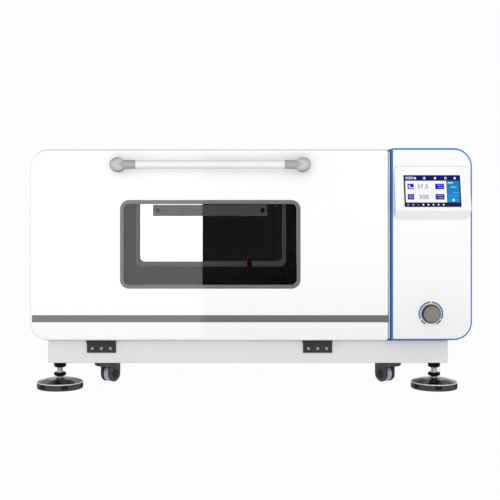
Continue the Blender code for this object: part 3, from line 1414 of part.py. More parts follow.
def hinge(side, x):
    back = PLINTH_FRONT - GAP
    front = back - HINGE_PLATE_THICKNESS
    half = HINGE_WIDTH / 2
    leaf_half = HINGE_LEAF_WIDTH / 2
    plate = box(
        f"hinge_plate_{side}",
        (x - half, front, PLINTH_TOP - HINGE_PLATE_DROP),
        (x + half, back, PLINTH_TOP - GAP),
    )
    for number, near, far in ((1, x - half, x - leaf_half - GAP), (2, x + leaf_half + GAP, x + half)):
        join(plate, prism(f"hinge_arm_{side}_{number}", [knuckle_arm()], near, far, "side"))
    axis = (HINGE_AXIS_Y, HINGE_AXIS_Z)
    join(plate, rod(f"hinge_pin_{side}", PIN_RADIUS, axis, x - half + BITE, x + half - BITE, "side", 24))
    finish(plate, "dark grey paint")
    top = DOOR_BOTTOM + HINGE_NOTCH_HEIGHT - HINGE_NOTCH_SIDE
    leaf_back = DOOR_BACK - SHEET - GAP
    bottom = HINGE_AXIS_Z - KNUCKLE_RADIUS
    knuckle = arc(axis, KNUCKLE_RADIUS, 90, 270, 8)
    profile = knuckle + [(leaf_back, bottom), (leaf_back, top), (HINGE_AXIS_Y, top)]
    leaf = prism(f"hinge_leaf_{side}", [profile], x - leaf_half, x + leaf_half, "side")
    cut(leaf, rod(f"leaf_bore_{side}", PIN_RADIUS + GAP, axis, x - half, x + half, "side", 24))
    finish(leaf, "zinc")


def door():
    door_panel()
    door_liner()
    door_gasket()
    window()
    handle()
    hinge("left", HINGE_LEFT_X)
    hinge("right", HINGE_RIGHT_X)
    names = ("door_", "window_bezel", "outer_glass", "inner_glass", "handle_", "hinge_leaf")
    carried = [piece for piece in PARTS.objects if piece.name.startswith(names)]
    pivot("door_axis", (0, HINGE_AXIS_Y, HINGE_AXIS_Z), carried)


def new_collection(name):
    collection = bpy.data.collections.new(name)
    bpy.context.scene.collection.children.link(collection)
    return collection


for old in list(bpy.data.objects):
    bpy.data.objects.remove(old)
PARTS = new_collection("shaking_incubator")
CUTTERS = new_collection("cutters")

base_frame()
for foot_place, (foot_x, foot_y) in FEET.items():
    levelling_foot(foot_place, foot_x, foot_y)
for caster_place, (caster_x, caster_y, caster_turn) in CASTERS.items():
    caster(caster_place, caster_x, caster_y, caster_turn)
cabinet_shell()
chamber_liner()
insulation()
rear_cover()
power_inlet()
gas_inlet()
control_unit()
duct_cover()
duct_panel()
air_baffle()
temperature_probe()
fan()
column()
screen_housing()
selector()
drive_frame()
crank_axes = {name: crank(name, place) for name, place in CRANKS.items()}
belt_drive(crank_axes["crank_driven"])
platform(crank_axes["crank_driven"])
door()
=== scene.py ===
import json
import math

import bmesh
import bpy
from mathutils import Euler, Matrix, Vector


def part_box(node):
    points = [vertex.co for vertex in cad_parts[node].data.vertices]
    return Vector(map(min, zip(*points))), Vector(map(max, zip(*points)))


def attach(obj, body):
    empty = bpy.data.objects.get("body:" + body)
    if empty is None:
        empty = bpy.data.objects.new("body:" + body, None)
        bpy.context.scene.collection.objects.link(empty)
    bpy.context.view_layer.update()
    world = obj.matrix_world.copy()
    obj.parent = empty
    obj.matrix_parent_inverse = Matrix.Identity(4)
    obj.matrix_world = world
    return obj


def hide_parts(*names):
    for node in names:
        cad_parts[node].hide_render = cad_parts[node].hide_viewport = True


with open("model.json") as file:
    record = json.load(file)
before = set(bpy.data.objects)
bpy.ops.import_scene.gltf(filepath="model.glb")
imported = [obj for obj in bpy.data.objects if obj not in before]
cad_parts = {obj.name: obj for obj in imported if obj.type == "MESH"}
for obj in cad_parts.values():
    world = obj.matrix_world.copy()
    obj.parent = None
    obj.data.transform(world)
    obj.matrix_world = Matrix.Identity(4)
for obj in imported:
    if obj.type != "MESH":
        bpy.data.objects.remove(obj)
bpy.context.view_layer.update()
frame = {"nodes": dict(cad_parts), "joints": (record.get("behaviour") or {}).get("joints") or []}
nodes = frame["nodes"]
joints = {joint["name"]: joint for joint in frame["joints"]}
CORNERS = ("front_left", "front_right", "rear_left", "rear_right")

# Places read from the frame
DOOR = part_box("door_panel")
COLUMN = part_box("column_trim")
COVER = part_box("column_cover")
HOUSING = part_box("screen_housing")
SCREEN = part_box("touch_screen")
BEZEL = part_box("window_bezel")
OUTER_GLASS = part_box("outer_glass")
INNER_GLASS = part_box("inner_glass")
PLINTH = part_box("base_frame")
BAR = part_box("handle_bar")
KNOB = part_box("selector_knob")
KNOB_MIDDLE = (KNOB[0] + KNOB[1]) / 2
DOOR_FACE = DOOR[0].y
DOOR_BACK = DOOR[1].y
COVER_FACE = COVER[0].y
HANDLE_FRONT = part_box("handle_mount_left")[0].y

# Photograph's camera: its distance before the door's face, and where it stands
CAMERA_DISTANCE = 3.0
CAMERA_X = -0.077
CAMERA_Z = 0.552
LENS_MM = 72
SHIFT_X = 0.05
SHIFT_Y = -0.08

# The studio as the door reflects it: slopes from straight behind the camera, and light levels
EDGE_SLOPE = -0.0225
BRIGHT_REACH = -0.25
DARK_REACH = 0.29
REFLECTED_LOW = -0.21
REFLECTED_HIGH = 0.12
BRIGHT_LIGHT = 1.55
DARK_LIGHT = 0.01
ROOM_LIGHT = 0.45
FRONT_LIGHT = 2.3
REAR_LIGHT = 0.8
LIGHT_FOCUS = 4.0
FLOOR_LIGHT = 0.64
BACKDROP = 0.983
FLOOR_SEEN = BACKDROP - 0.015
FLOOR_REACH = 20
FLOOR_FRONT = -0.95

# Fit between pieces, how far printed marks stand proud, and when two places are one
GAP = 0.0003
PRINT = 0.00012
SAME_PLACE = 0.00001
SHARP_ANGLE = math.radians(32)
EASED_ANGLE = 0.5

# Door, its window and its handle
DOOR_LEFT_RADIUS = 0.056
DOOR_RIGHT_RADIUS = 0.009
DOOR_FILLET = 0.008
# The door's skin stops short of its outline by a band, where a dark ring behind it shows as painted shade for the
# door's rounded edge.
EDGE_BAND = 0.0012
EDGE_BAND_DEPTH = 0.012
EDGE_BAND_WIDTH = 0.003
SHEET = 0.002
STRIPE_LOW = 0.2151
STRIPE_HIGH = 0.2364
STRIPE_END = 0.0015
WINDOW_RADIUS = 0.027
WINDOW_RING = 0.0113
WINDOW_RING_EDGE = 0.0010
LINING_WIDTH = 0.0008
PANE_EDGE_WIDTH = 0.0003
PANE_FACE_TILT = 0.95
HANDLE_SLEEVE_LENGTH = 0.055
SLEEVE_EXTRA = 0.0006
SLEEVE_EDGE = 0.0008
HANDLE_POST_RADIUS = 0.022
HANDLE_POST_SHORT = 0.0015
HANDLE_POST_WALL = 0.66
HANDLE_POST_FOOT = 0.001
HANDLE_BAR_RADIUS = 0.0127
HANDLE_BAR_EDGE = 0.0006
HANDLE_BOSS = (0.0245, 0.012, 0.0185)
HANDLE_BOSS_SHIFT = 0.0045
HANDLE_BOSS_TAPER = 0.28
HANDLE_BOSS_STRETCH = 0.10

# Mirror panel's rim, its screws, those of the duct's cover, and the air strip before it
MIRROR_RADIUS = 0.021
MIRROR_INNER_RADIUS = 0.0165
MIRROR_RIM = 0.0157
MIRROR_RIM_RIGHT = 0.0136
MIRROR_RIM_LOW = 0.0179
MIRROR_RIM_EDGE = 0.0006
MIRROR_DROP = 0.0012
MIRROR_EDGE = 0.0005
PANEL_SCREW_SIZE = (0.0022, 0.0009)
PANEL_SCREWS = [(x, z) for z in (0.5678, 0.630) for x in (-0.3764, 0.1092)]
COVER_SCREW_SIZE = (0.0028, 0.0012)
COVER_SCREWS = [(0.1703, 0.4852), (0.1703, 0.3457), (0.1512, 0.323), (-0.0356, 0.323), (-0.2224, 0.323)]
STRIP_RADIUS = 0.0035
STRIP_EDGE = 0.0004
STRIP_HOLE = 0.0088
STRIP_END = 0.0165
STRIP_PLUG = [(0, 0.001), (STRIP_HOLE - GAP, 0.0006), (0, 0)]

# Hinge flanges on the plinth, and the notches they stand in
HINGE_HEIGHT = 0.0377
HINGE_THICKNESS = 0.0048
HINGE_EDGE = 0.0008
HINGE_BAND = 0.009
HINGE_BAND_SIDE = 0.0015
HINGE_BAND_FRONT = 0.0012
HINGE_BAND_EDGE = 0.0010
HINGE_SCREW_RADIUS = 0.0046
HINGE_SCREW_DROP = 0.0252
HINGE_SCREW_SPACING = 0.0275
NOTCH_SIDE = 0.002
NOTCH_FRONT = 0.010
NOTCH_HEIGHT = 0.020

# Screw heads with their sockets, and the rear cover's screws
SCREW_HEIGHT = 0.0016
SCREW_WALL = 0.35
SOCKET_WIDTH = 0.5
SOCKET_FLOOR = 0.45
REAR_SCREW_RADIUS = 0.0045
REAR_SCREWS = [(x, z) for x in (-0.59, -0.2, 0.2, 0.59) for z in (0.172, 0.722)]
REAR_SCREWS += [(x, z) for x in (-0.648, 0.648) for z in (0.33, 0.56)]

# Column and selector
COLUMN_RADIUS = 0.056
COLUMN_INNER_RADIUS = 0.006
TRIM_LEFT = 0.0051
TRIM_SIDE_START = 0.0046
TRIM_SIDE_DEPTH = 0.0015
DOOR_SEAL_START = 0.0007
DOOR_SEAL_DEPTH = 0.0025
TRIM_RIGHT = 0.0038
TRIM_TOP = 0.0048
TRIM_LOW = 0.0043
TRIM_EDGE = 0.0009
TRIM_SIDE_EDGE = 0.0008
DOOR_SEAL_EDGE = 0.0004
COVER_EDGE = 0.0016
SPINDLE_BORE = 0.0095
KNOB_EDGE = 0.0016
KNOB_DISH = 0.0005
KNOB_DISH_START = 0.0042
KNOB_DISH_END = 0.0034
KNOB_FOOT = 0.0008
KNOB_GRIP_TOP = 0.72
KNOB_GRIP_SHOULDER = 0.66
KNOB_RING_RADIUS = 0.0288
KNOB_RING_WIDTH = 0.0033
KNOB_RING_HEIGHT = 0.0062
KNOB_RING_EDGE = 0.0018
KNOB_RING_SLOPE = (0.0013, 0.0012)
KNOB_ARC_RADIUS = 0.0346
KNOB_ARC_WIDTH = 0.0050
KNOB_ARCS = ((97, 203), (-23, 83), (216, 238), (-58, -36))

# Screen housing: how far it stands before the column at its top, lip and foot
HOUSING_LIP_Z = HOUSING[0].z + 0.027
HOUSING_LIP_REACH = COVER_FACE - HOUSING[0].y
HOUSING_TOP_REACH = 0.008
HOUSING_FOOT_REACH = 0.005
HOUSING_TOP = HOUSING[1].z - 0.003
HOUSING_RADIUS = 0.018
HOUSING_EDGE = 0.0055
HOUSING_LIP_RADIUS = 0.008
HOUSING_LEAN = math.atan2(HOUSING_LIP_REACH - HOUSING_TOP_REACH, HOUSING[1].z - HOUSING_LIP_Z)
RECESS_MARGIN = 0.009
RECESS_DEPTH = 0.0025
RECESS_RADIUS = 0.003
POCKET_DEPTH = 0.0068
POCKET_RADIUS = 0.0012
GLASS_THICKNESS = 0.004
GLASS_RADIUS = 0.001
SCREEN_LOW = HOUSING[0].z + 0.0368
SCREEN_HIGH = HOUSING[1].z - 0.0285
SCREEN_HALF_WIDTH = (SCREEN[1].x - SCREEN[0].x) / 2
SCREEN_HALF_HEIGHT = (SCREEN_HIGH - SCREEN_LOW) / 2 / math.cos(HOUSING_LEAN)
SCREEN_SHAPE = SCREEN_HALF_HEIGHT / SCREEN_HALF_WIDTH
SCREEN_LAYER = 0.00012
FIGURE_SIZE = 1.38
FIGURE_WEIGHT = 0.010
FIGURE_SPACING = 1.12

# Plinth and caster plates, feet with the notches in their pads, and nuts
PLINTH_LOW = 0.088
PLINTH_HEM = 0.0021
PLINTH_EDGE = 0.0035
PLINTH_TOP = PLINTH[1].z
PLINTH_FRONT = PLINTH[0].y
PLINTH_WALL = 0.003
PLINTH_FLOOR = 0.004
CASTER_PLATE = 0.076
CASTER_PLATE_THICKNESS = 0.004
CASTER_PLATE_EDGE = 0.0012
FOOT_PAD_RADIUS = 0.071
FOOT_PAD_INNER = 0.030
FOOT_PAD_EDGE = 0.003
FOOT_PAD_CHAMFER = (0.0006, 0.0008)
FOOT_RIM_TOP = 0.021
FOOT_RIM_EDGE = 0.0027
FOOT_RIM_WIDTH = 0.0024
FOOT_RIM_SEAT = 0.0026
FOOT_RIM_CHAMFER = (0.0009, 0.0008)
FOOT_PAD_TOP = 0.032
FOOT_PAD_BORE = 0.0004
FOOT_NECK_RADIUS = 0.016
FOOT_NECK_FOOT = (0.003, 0.0007)
FOOT_SHOULDER = (0.040, 0.0298)
FOOT_SHOULDER_DROP = 0.0004
FOOT_SOFTNESS = 0.001
FOOT_NOTCHES = 6
FOOT_NOTCH_TURN = {"left": 21, "right": -0.5}
FOOT_NOTCH_WIDTH = 0.021
FOOT_NOTCH_DEPTH = 0.004
FOOT_NOTCH_LOW = 0.0055
STEM_RADIUS = 0.0095
STEM_CHAMFER = 0.0012
THREAD_PITCH = 0.002
THREAD_DEPTH = 0.0006
NUT_RADIUS = 0.019
NUT_CHAMFER = 0.0035
UPPER_NUT_HEIGHT = 0.0225
LOWER_NUT_LOW = 0.0370
LOWER_NUT_HIGH = 0.0490
LOWER_NUT_FOOT = 0.0105

# Casters: the collar over the hood, and the round cheeks beside the wheel
COLLAR_RADIUS = 0.038
COLLAR_LOW = 0.0695
COLLAR_EDGE = 0.004
CHEEK_RADIUS = 0.0252
CHEEK_EDGE = 0.0012
CHEEK_NEAR = 0.0118
CHEEK_FAR = 0.0178
CHEEK_CAP_RADIUS = 0.0135
CHEEK_CAP_HEIGHT = 0.0006

# Which way a flat outline faces
FACING = {
    "plan": Euler((0, 0, 0)),
    "front": Euler((math.radians(90), 0, 0)),
    "side": Euler((math.radians(90), 0, math.radians(90))),
}
AXES = {"plan": Vector((0, 0, 1)), "front": Vector((0, 1, 0)), "side": Vector((1, 0, 0))}


# Outlines


def around(centre, radius, degrees):
    """The point at an angle on a circle."""
    turn = math.radians(degrees)
    return (centre[0] + radius * math.cos(turn), centre[1] + radius * math.sin(turn))


def arc(centre, radius, start, end, steps):
    """Points on an arc between two angles in degrees."""
    return [around(centre, radius, start + (end - start) * step / steps) for step in range(steps + 1)]


def dome(radius, height, wall, angles):
    """The profile of a dome on a wall that takes up a share of its height."""
    turns = [math.radians(angle) for angle in angles]
    return [(radius * math.sin(turn), height * (wall + (1 - wall) * math.cos(turn))) for turn in turns]


def round_rect(left, right, low, high, radii, steps=16):
    """A rectangle with round corners, anticlockwise from its lower left."""
    if not isinstance(radii, tuple):
        radii = (radii,) * 4
    corners = ((left, low, 1, 1), (right, low, -1, 1), (right, high, -1, -1), (left, high, 1, -1))
    points = []
    for quarter, ((x, y, toward_x, toward_y), radius) in enumerate(zip(corners, radii)):
        if radius <= 0:
            points.append((x, y))
            continue
        centre = (x + toward_x * radius, y + toward_y * radius)
        points += arc(centre, radius, 180 + 90 * quarter, 270 + 90 * quarter, steps)
    return points


def circle(x, y, radius, steps=48):
    return arc((x, y), radius, 0, 360 * (steps - 1) / steps, steps - 1)


def hexagon(x, y, radius):
    return arc((x, y), radius, 0, 300, 5)


def within(box, inset, radii, steps=16):
    """The front outline of a box, moved inwards with its corners' radii."""
    low, high = box
    radii = tuple(max(radius - inset, 0.0008) for radius in radii)
    return round_rect(low.x + inset, high.x - inset, low.z + inset, high.z - inset, radii, steps)


def door_outline(inset=0.0):
    left, right = DOOR_LEFT_RADIUS, DOOR_RIGHT_RADIUS
    return within(DOOR, inset, (left, right, right, left))


def window_outline(inset=0.0):
    return within(BEZEL, inset, (WINDOW_RADIUS,) * 4)


def column_outline():
    inner, outer = COLUMN_INNER_RADIUS, COLUMN_RADIUS
    return within(COLUMN, 0, (inner, outer, outer, inner))


def cover_outline(inset=0.0):
    """The column's cover, whose rim is wider on the door's side."""
    low, high = COLUMN
    outer = COLUMN_RADIUS - TRIM_TOP - inset
    inner = COLUMN_INNER_RADIUS - TRIM_LOW - inset / 2
    sides = low.x + TRIM_LEFT + inset, high.x - TRIM_RIGHT - inset
    ends = low.z + TRIM_LOW + inset, high.z - TRIM_TOP - inset
    return round_rect(*sides, *ends, (inner, outer, outer, inner))


# Meshes


def link(name, data):
    piece = bpy.data.objects.new(name, data)
    bpy.context.scene.collection.objects.link(piece)
    return piece


def settle(piece):
    """Smooth shading with sharp edges kept where faces meet at a steep angle."""
    piece.data.shade_smooth()
    piece.data.set_sharp_from_angle(angle=SHARP_ANGLE)
    return piece


def filled(bm, mesh):
    """Puts the faces built so far into a mesh."""
    bm.to_mesh(mesh)
    bm.free()
    return mesh


def cleaned(bm):
    """Joins points that lie on each other, and turns all faces outwards."""
    bmesh.ops.remove_doubles(bm, verts=bm.verts, dist=SAME_PLACE / 2)
    bmesh.ops.recalc_face_normals(bm, faces=bm.faces)


def evaluated(piece):
    depsgraph = bpy.context.evaluated_depsgraph_get()
    return bpy.data.meshes.new_from_object(piece.evaluated_get(depsgraph))


def plate(name, loops, start, end, facing="front", edge=None):
    """A plate between two planes, from the outline and those of its holes.

    An edge is the width and the number of steps that round the rims of its near face.
    """
    curve = bpy.data.curves.new(name, "CURVE")
    curve.dimensions = "2D"
    curve.fill_mode = "BOTH"
    curve.extrude = (end - start) / 2
    for points in loops:
        spline = curve.splines.new("POLY")
        spline.points.add(len(points) - 1)
        for place, (x, y) in zip(spline.points, points):
            place.co = (x, y, 0, 1)
        spline.use_cyclic_u = True
    flat = link(name, curve)
    mesh = evaluated(flat)
    bpy.data.objects.remove(flat)
    bm = bmesh.new()
    bm.from_mesh(mesh)
    bmesh.ops.remove_doubles(bm, verts=bm.verts, dist=SAME_PLACE / 2)
    bmesh.ops.dissolve_limit(bm, angle_limit=0.001, verts=bm.verts, edges=bm.edges)
    cleaned(bm)
    middle = Matrix.Translation(AXES[facing] * (start + end) / 2)
    filled(bm, mesh).transform(middle @ FACING[facing].to_matrix().to_4x4())
    piece = settle(link(name, mesh))
    return ease(piece, start, *edge) if edge else piece


def lathe(name, profile, centre, facing="plan", steps=64):
    """A turned piece with its origin at its centre, from (radius, height) pairs, top first.

    Facing the front, heights run towards the viewer.
    """
    bm = bmesh.new()
    verts = [bm.verts.new((radius, 0, height)) for radius, height in profile]
    edges = [bm.edges.new(pair) for pair in zip(verts, verts[1:])]
    if min(profile[0][0], profile[-1][0]) > 0:
        edges.append(bm.edges.new((verts[-1], verts[0])))
    bmesh.ops.spin(
        bm, geom=verts + edges, axis=(0, 0, 1), cent=(0, 0, 0), angle=2 * math.pi, steps=steps, use_merge=True
    )
    cleaned(bm)
    mesh = filled(bm, bpy.data.meshes.new(name))
    mesh.transform(FACING[facing].to_matrix().to_4x4())
    piece = link(name, mesh)
    piece.location = centre
    return settle(piece)


def block(name, low, high, edge=0.0, edge_steps=3):
    """A box between two corners, with its edges rounded."""
    bm = bmesh.new()
    bmesh.ops.create_cube(bm, size=1.0)
    bmesh.ops.scale(bm, vec=Vector(high) - Vector(low), verts=bm.verts)
    if edge:
        bmesh.ops.bevel(bm, geom=bm.edges[:], offset=edge, segments=edge_steps, profile=0.5, affect="EDGES")
    mesh = filled(bm, bpy.data.meshes.new(name))
    mesh.transform(Matrix.Translation((Vector(low) + Vector(high)) / 2))
    return settle(link(name, mesh))


def rod(name, radius, start, end, edge, steps=64):
    """A round bar between two points, with its end rims rounded."""
    start, end = Vector(start), Vector(end)
    length = (end - start).length
    profile = [(0, length)]
    profile += arc((radius - edge, length - edge), edge, 90, 0, 4)
    profile += arc((radius - edge, edge), edge, 0, -90, 4)
    profile.append((0, 0))
    piece = lathe(name, profile, (0, 0, 0), steps=steps)
    turn = Vector((0, 0, 1)).rotation_difference(end - start).to_matrix().to_4x4()
    piece.data.transform(Matrix.Translation(start) @ turn)
    return piece


def carve(piece, *tools, operation="DIFFERENCE"):
    """Applies Booleans with other pieces, which are used up."""
    for tool in tools:
        change = piece.modifiers.new("Carve", "BOOLEAN")
        change.object = tool
        change.operation = operation
        change.solver = "EXACT"
        mesh = evaluated(piece)
        piece.modifiers.clear()
        piece.data = mesh
        bpy.data.objects.remove(tool)
    return settle(piece)


def fuse(piece, *others):
    """Puts several bodies that stand by themselves into one piece."""
    bm = bmesh.new()
    bm.from_mesh(piece.data)
    for other in others:
        other.data.transform(piece.matrix_basis.inverted() @ other.matrix_basis)
        bm.from_mesh(other.data)
        bpy.data.objects.remove(other)
    filled(bm, piece.data)
    return settle(piece)


def ease(piece, depth, width, steps):
    """Rounds the edges of a piece that lie in one upright plane."""
    bm = bmesh.new()
    bm.from_mesh(piece.data)
    rims = [edge for edge in bm.edges if all(abs(vertex.co.y - depth) < SAME_PLACE for vertex in edge.verts)]
    rims = [edge for edge in rims if edge.calc_face_angle(0) > EASED_ANGLE]
    bmesh.ops.bevel(bm, geom=rims, offset=width, segments=steps, profile=0.5, affect="EDGES", clamp_overlap=True)
    filled(bm, piece.data)
    return settle(piece)


def flatten(piece):
    """Keeps the shading of broad faces flat next to the roundings at their edges."""
    piece.modifiers.new("Flat faces", "WEIGHTED_NORMAL").keep_sharp = True


def dress(piece, finish, body, replaces=None):
    """Gives a piece its finish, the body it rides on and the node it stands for."""
    flatten(piece)
    piece.data.materials.clear()
    piece.data.materials.append(finish)
    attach(piece, body)
    if replaces:
        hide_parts(replaces)
    return piece


# Shader groups

SOCKET_KINDS = {1: "NodeSocketFloat", 3: "NodeSocketVector", 4: "NodeSocketColor"}
SKIN = ("Colour", "Roughness", "Height")


def new_group(name, inputs, outputs):
    """A group whose inputs take their kinds from their values, with its own inputs, outputs and place."""
    group = bpy.data.node_groups.new(name, "ShaderNodeTree")
    for label, value in inputs.items():
        kind = SOCKET_KINDS[len(value) if isinstance(value, tuple) else 1]
        socket = group.interface.new_socket(name=label, in_out="INPUT", socket_type=kind)
        socket.default_value = value
    for label in outputs:
        kind = SOCKET_KINDS[4 if label == "Colour" else 1]
        group.interface.new_socket(name=label, in_out="OUTPUT", socket_type=kind)
    place = node(group, "ShaderNodeTexCoord").outputs["Object"]
    return group, group.nodes.new("NodeGroupInput").outputs, group.nodes.new("NodeGroupOutput").inputs, place


def node(tree, kind, values=None, **settings):
    """A new node, with the given inputs' values and its own settings."""
    made = tree.nodes.new(kind)
    for label, value in (values or {}).items():
        made.inputs[label].default_value = value
    for key, value in settings.items():
        setattr(made, key, value)
    return made


def join(tree, *pairs):
    for source, target in pairs:
        tree.links.new(source, target)


def combine(tree, operation, first, second):
    """One Math node on two sockets or numbers."""
    made = node(tree, "ShaderNodeMath", operation=operation)
    for place, value in enumerate((first, second)):
        if isinstance(value, float):
            made.inputs[place].default_value = value
        else:
            tree.links.new(value, made.inputs[place])
    return made.outputs[0]


def blend(tree, mask, base, value):
    """A value where the mask is one, and the base where it is nothing."""
    mix = node(tree, "ShaderNodeMix", {3: value}, data_type="FLOAT")
    join(tree, (mask, mix.inputs[0]))
    if isinstance(base, float):
        mix.inputs[2].default_value = base
    else:
        join(tree, (base, mix.inputs[2]))
    return mix.outputs[0]


def scaled_colour(group, colour, amount):
    """A colour darkened by an amount that varies over the surface."""
    tint = node(group, "ShaderNodeVectorMath", operation="SCALE")
    join(group, (colour, tint.inputs[0]), (combine(group, "SUBTRACT", 1.0, amount), tint.inputs["Scale"]))
    return tint.outputs[0]


def fade(group, source, low, high, most):
    """A mask that grows from nothing at low to most at high."""
    spread = node(group, "ShaderNodeMapRange", {"From Min": low, "From Max": high})
    join(group, (source, spread.inputs["Value"]), (most, spread.inputs["To Max"]))
    return spread.outputs["Result"]


def mixed(group, mask, first, second):
    mix = node(group, "ShaderNodeMix", data_type="RGBA")
    join(group, (mask, mix.inputs[0]), (first, mix.inputs[6]), (second, mix.inputs[7]))
    return mix.outputs[2]


def paint_film_group():
    """Sprayed enamel: a faint orange peel, slow drifts of tone, and wiped streaks in its gloss."""
    values = {"Colour": (0.8, 0.8, 0.8, 1), "Tone Drift": 0.02, "Peel Scale": 450.0, "Roughness": 0.05, "Smear": 0.05}
    group, given, result, place = new_group("paint_film", values, SKIN)
    peel = node(group, "ShaderNodeTexNoise", {"Detail": 1.0})
    drift = node(group, "ShaderNodeTexNoise", {"Scale": 2.5, "Detail": 2.0})
    wipe = node(group, "ShaderNodeTexNoise", {"Scale": 9.0, "Detail": 4.0, "Distortion": 0.6})
    for texture in (peel, drift, wipe):
        join(group, (place, texture.inputs["Vector"]))
    join(group, (given["Peel Scale"], peel.inputs["Scale"]))
    shade = combine(group, "MULTIPLY", drift.outputs["Fac"], given["Tone Drift"])
    smear = fade(group, wipe.outputs["Fac"], 0.45, 0.75, given["Smear"])
    join(
        group,
        (scaled_colour(group, given["Colour"], shade), result["Colour"]),
        (combine(group, "ADD", smear, given["Roughness"]), result["Roughness"]),
        (peel.outputs["Fac"], result["Height"]),
    )
    return group


def brushed_group():
    """Metal with fine parallel scratches along one direction."""
    values = {"Colour": (0.6, 0.6, 0.6, 1), "Stretch": (4.0, 900.0, 900.0), "Contrast": 0.12, "Roughness": 0.25}
    group, given, result, place = new_group("brushed_lines", values, SKIN)
    stretch = node(group, "ShaderNodeVectorMath", operation="MULTIPLY")
    lines = node(group, "ShaderNodeTexNoise", {"Scale": 1.0, "Detail": 3.0})
    join(
        group,
        (place, stretch.inputs[0]),
        (given["Stretch"], stretch.inputs[1]),
        (stretch.outputs[0], lines.inputs["Vector"]),
    )
    amount = combine(group, "MULTIPLY", lines.outputs["Fac"], given["Contrast"])
    join(
        group,
        (scaled_colour(group, given["Colour"], amount), result["Colour"]),
        (combine(group, "ADD", amount, given["Roughness"]), result["Roughness"]),
        (lines.outputs["Fac"], result["Height"]),
    )
    return group


def grain_group():
    """Moulded or cast skin: a fine even grain with dust in its hollows."""
    values = {"Colour": (0.05, 0.05, 0.05, 1), "Dust Colour": (0.3, 0.3, 0.3, 1)}
    values |= {"Dust": 0.04, "Grain Scale": 900.0, "Roughness": 0.5}
    group, given, result, place = new_group("moulded_grain", values, SKIN)
    grain = node(group, "ShaderNodeTexVoronoi")
    patches = node(group, "ShaderNodeTexNoise", {"Scale": 30.0, "Detail": 5.0})
    for texture in (grain, patches):
        join(group, (place, texture.inputs["Vector"]))
    join(group, (given["Grain Scale"], grain.inputs["Scale"]))
    dust = fade(group, patches.outputs["Fac"], 0.4, 0.7, given["Dust"])
    colour = mixed(group, dust, given["Colour"], given["Dust Colour"])
    join(
        group,
        (colour, result["Colour"]),
        (combine(group, "ADD", dust, given["Roughness"]), result["Roughness"]),
        (grain.outputs["Distance"], result["Height"]),
    )
    return group


def painted_sheen_group():
    """Painted reflection: light streaks in the base colour that run outwards from a turned piece's axis, standing in
    for the sheen on a polished surface.
    """
    values = {"Colour": (0.01, 0.01, 0.01, 1), "Sheen Colour": (0.6, 0.6, 0.6, 1), "Sheen Amount": 1.0, "Spread": 1.2}
    group, given, result, place = new_group("painted_sheen_streaks", values, ("Colour", "Mask"))
    flat = node(group, "ShaderNodeVectorMath", operation="MULTIPLY")
    flat.inputs[1].default_value = (1, 1, 0)
    outward = node(group, "ShaderNodeVectorMath", operation="NORMALIZE")
    rays = node(group, "ShaderNodeTexNoise", {"Detail": 1.0})
    join(
        group,
        (place, flat.inputs[0]),
        (flat.outputs[0], outward.inputs[0]),
        (outward.outputs[0], rays.inputs["Vector"]),
        (given["Spread"], rays.inputs["Scale"]),
    )
    mask = fade(group, rays.outputs["Fac"], 0.50, 0.62, given["Sheen Amount"])
    colour = mixed(group, mask, given["Colour"], given["Sheen Colour"])
    join(group, (colour, result["Colour"]), (mask, result["Mask"]))
    return group


GROUPS = {
    "paint": paint_film_group(),
    "brushed": brushed_group(),
    "grain": grain_group(),
    "painted_sheen": painted_sheen_group(),
}


# Finishes


def principled(name):
    made = bpy.data.materials.new(name)
    made.use_nodes = True
    return made, made.node_tree, made.node_tree.nodes["Principled BSDF"]


def effect(tree, group_name, values):
    """A group's node with its own values, where one number for a colour is a grey."""
    placed = node(tree, "ShaderNodeGroup", node_tree=GROUPS[group_name])
    for label, value in values.items():
        if label.endswith("Colour"):
            value = (*(value if isinstance(value, tuple) else (value,) * 3), 1)
        placed.inputs[label].default_value = value
    return placed


def clear_in_mirrors(made):
    """Lets reflected rays through, so that the chamber's mirror shows the room, not the door's back."""
    tree = made.node_tree
    rays = node(tree, "ShaderNodeLightPath").outputs["Is Glossy Ray"]
    join(tree, (combine(tree, "SUBTRACT", 1.0, rays), tree.nodes["Principled BSDF"].inputs["Alpha"]))


def finish(name, group_name, values, bump=0.0, constants=()):
    """A finish whose colour, roughness and bump come from one of the groups."""
    made, tree, shader = principled(name)
    skin = effect(tree, group_name, values)
    join(tree, (skin.outputs["Colour"], shader.inputs["Base Color"]))
    join(tree, (skin.outputs["Roughness"], shader.inputs["Roughness"]))
    if bump:
        relief = node(tree, "ShaderNodeBump", {"Strength": bump, "Distance": 0.0002})
        join(tree, (skin.outputs["Height"], relief.inputs["Height"]))
        join(tree, (relief.outputs["Normal"], shader.inputs["Normal"]))
    for label, value in dict(constants).items():
        shader.inputs[label].default_value = value
    return made


def paint(name, colour, roughness=0.04, smear=0.01, drift=0.01, bump=0.0, gloss=0.5):
    values = {"Colour": colour, "Tone Drift": drift, "Roughness": roughness, "Smear": smear}
    return finish(name, "paint", values, bump, {"Specular IOR Level": gloss})


def grained(name, colour, roughness=0.5, dust=0.03, scale=900.0, bump=0.15, metallic=0.0, gloss=0.5):
    values = {"Colour": colour, "Dust": dust, "Grain Scale": scale, "Roughness": roughness}
    return finish(name, "grain", values, bump, {"Metallic": metallic, "Specular IOR Level": gloss})


def brushed(name, colour, stretch, roughness=0.22, contrast=0.12, bump=0.1):
    values = {"Colour": colour, "Stretch": stretch, "Contrast": contrast, "Roughness": roughness}
    return finish(name, "brushed", values, bump, {"Metallic": 1.0})


def clear_glass(name, ior, reflection):
    """A pane with the faintest wiped streaks in its tint."""
    made, tree, shader = principled(name)
    skin = effect(tree, "paint", {"Colour": (0.99, 1.0, 0.995), "Tone Drift": 0.01})
    join(tree, (skin.outputs["Colour"], shader.inputs["Base Color"]))
    shader.inputs["Roughness"].default_value = 0.0
    shader.inputs["Transmission Weight"].default_value = 1.0
    shader.inputs["IOR"].default_value = ior
    shader.inputs["Specular IOR Level"].default_value = reflection
    return made


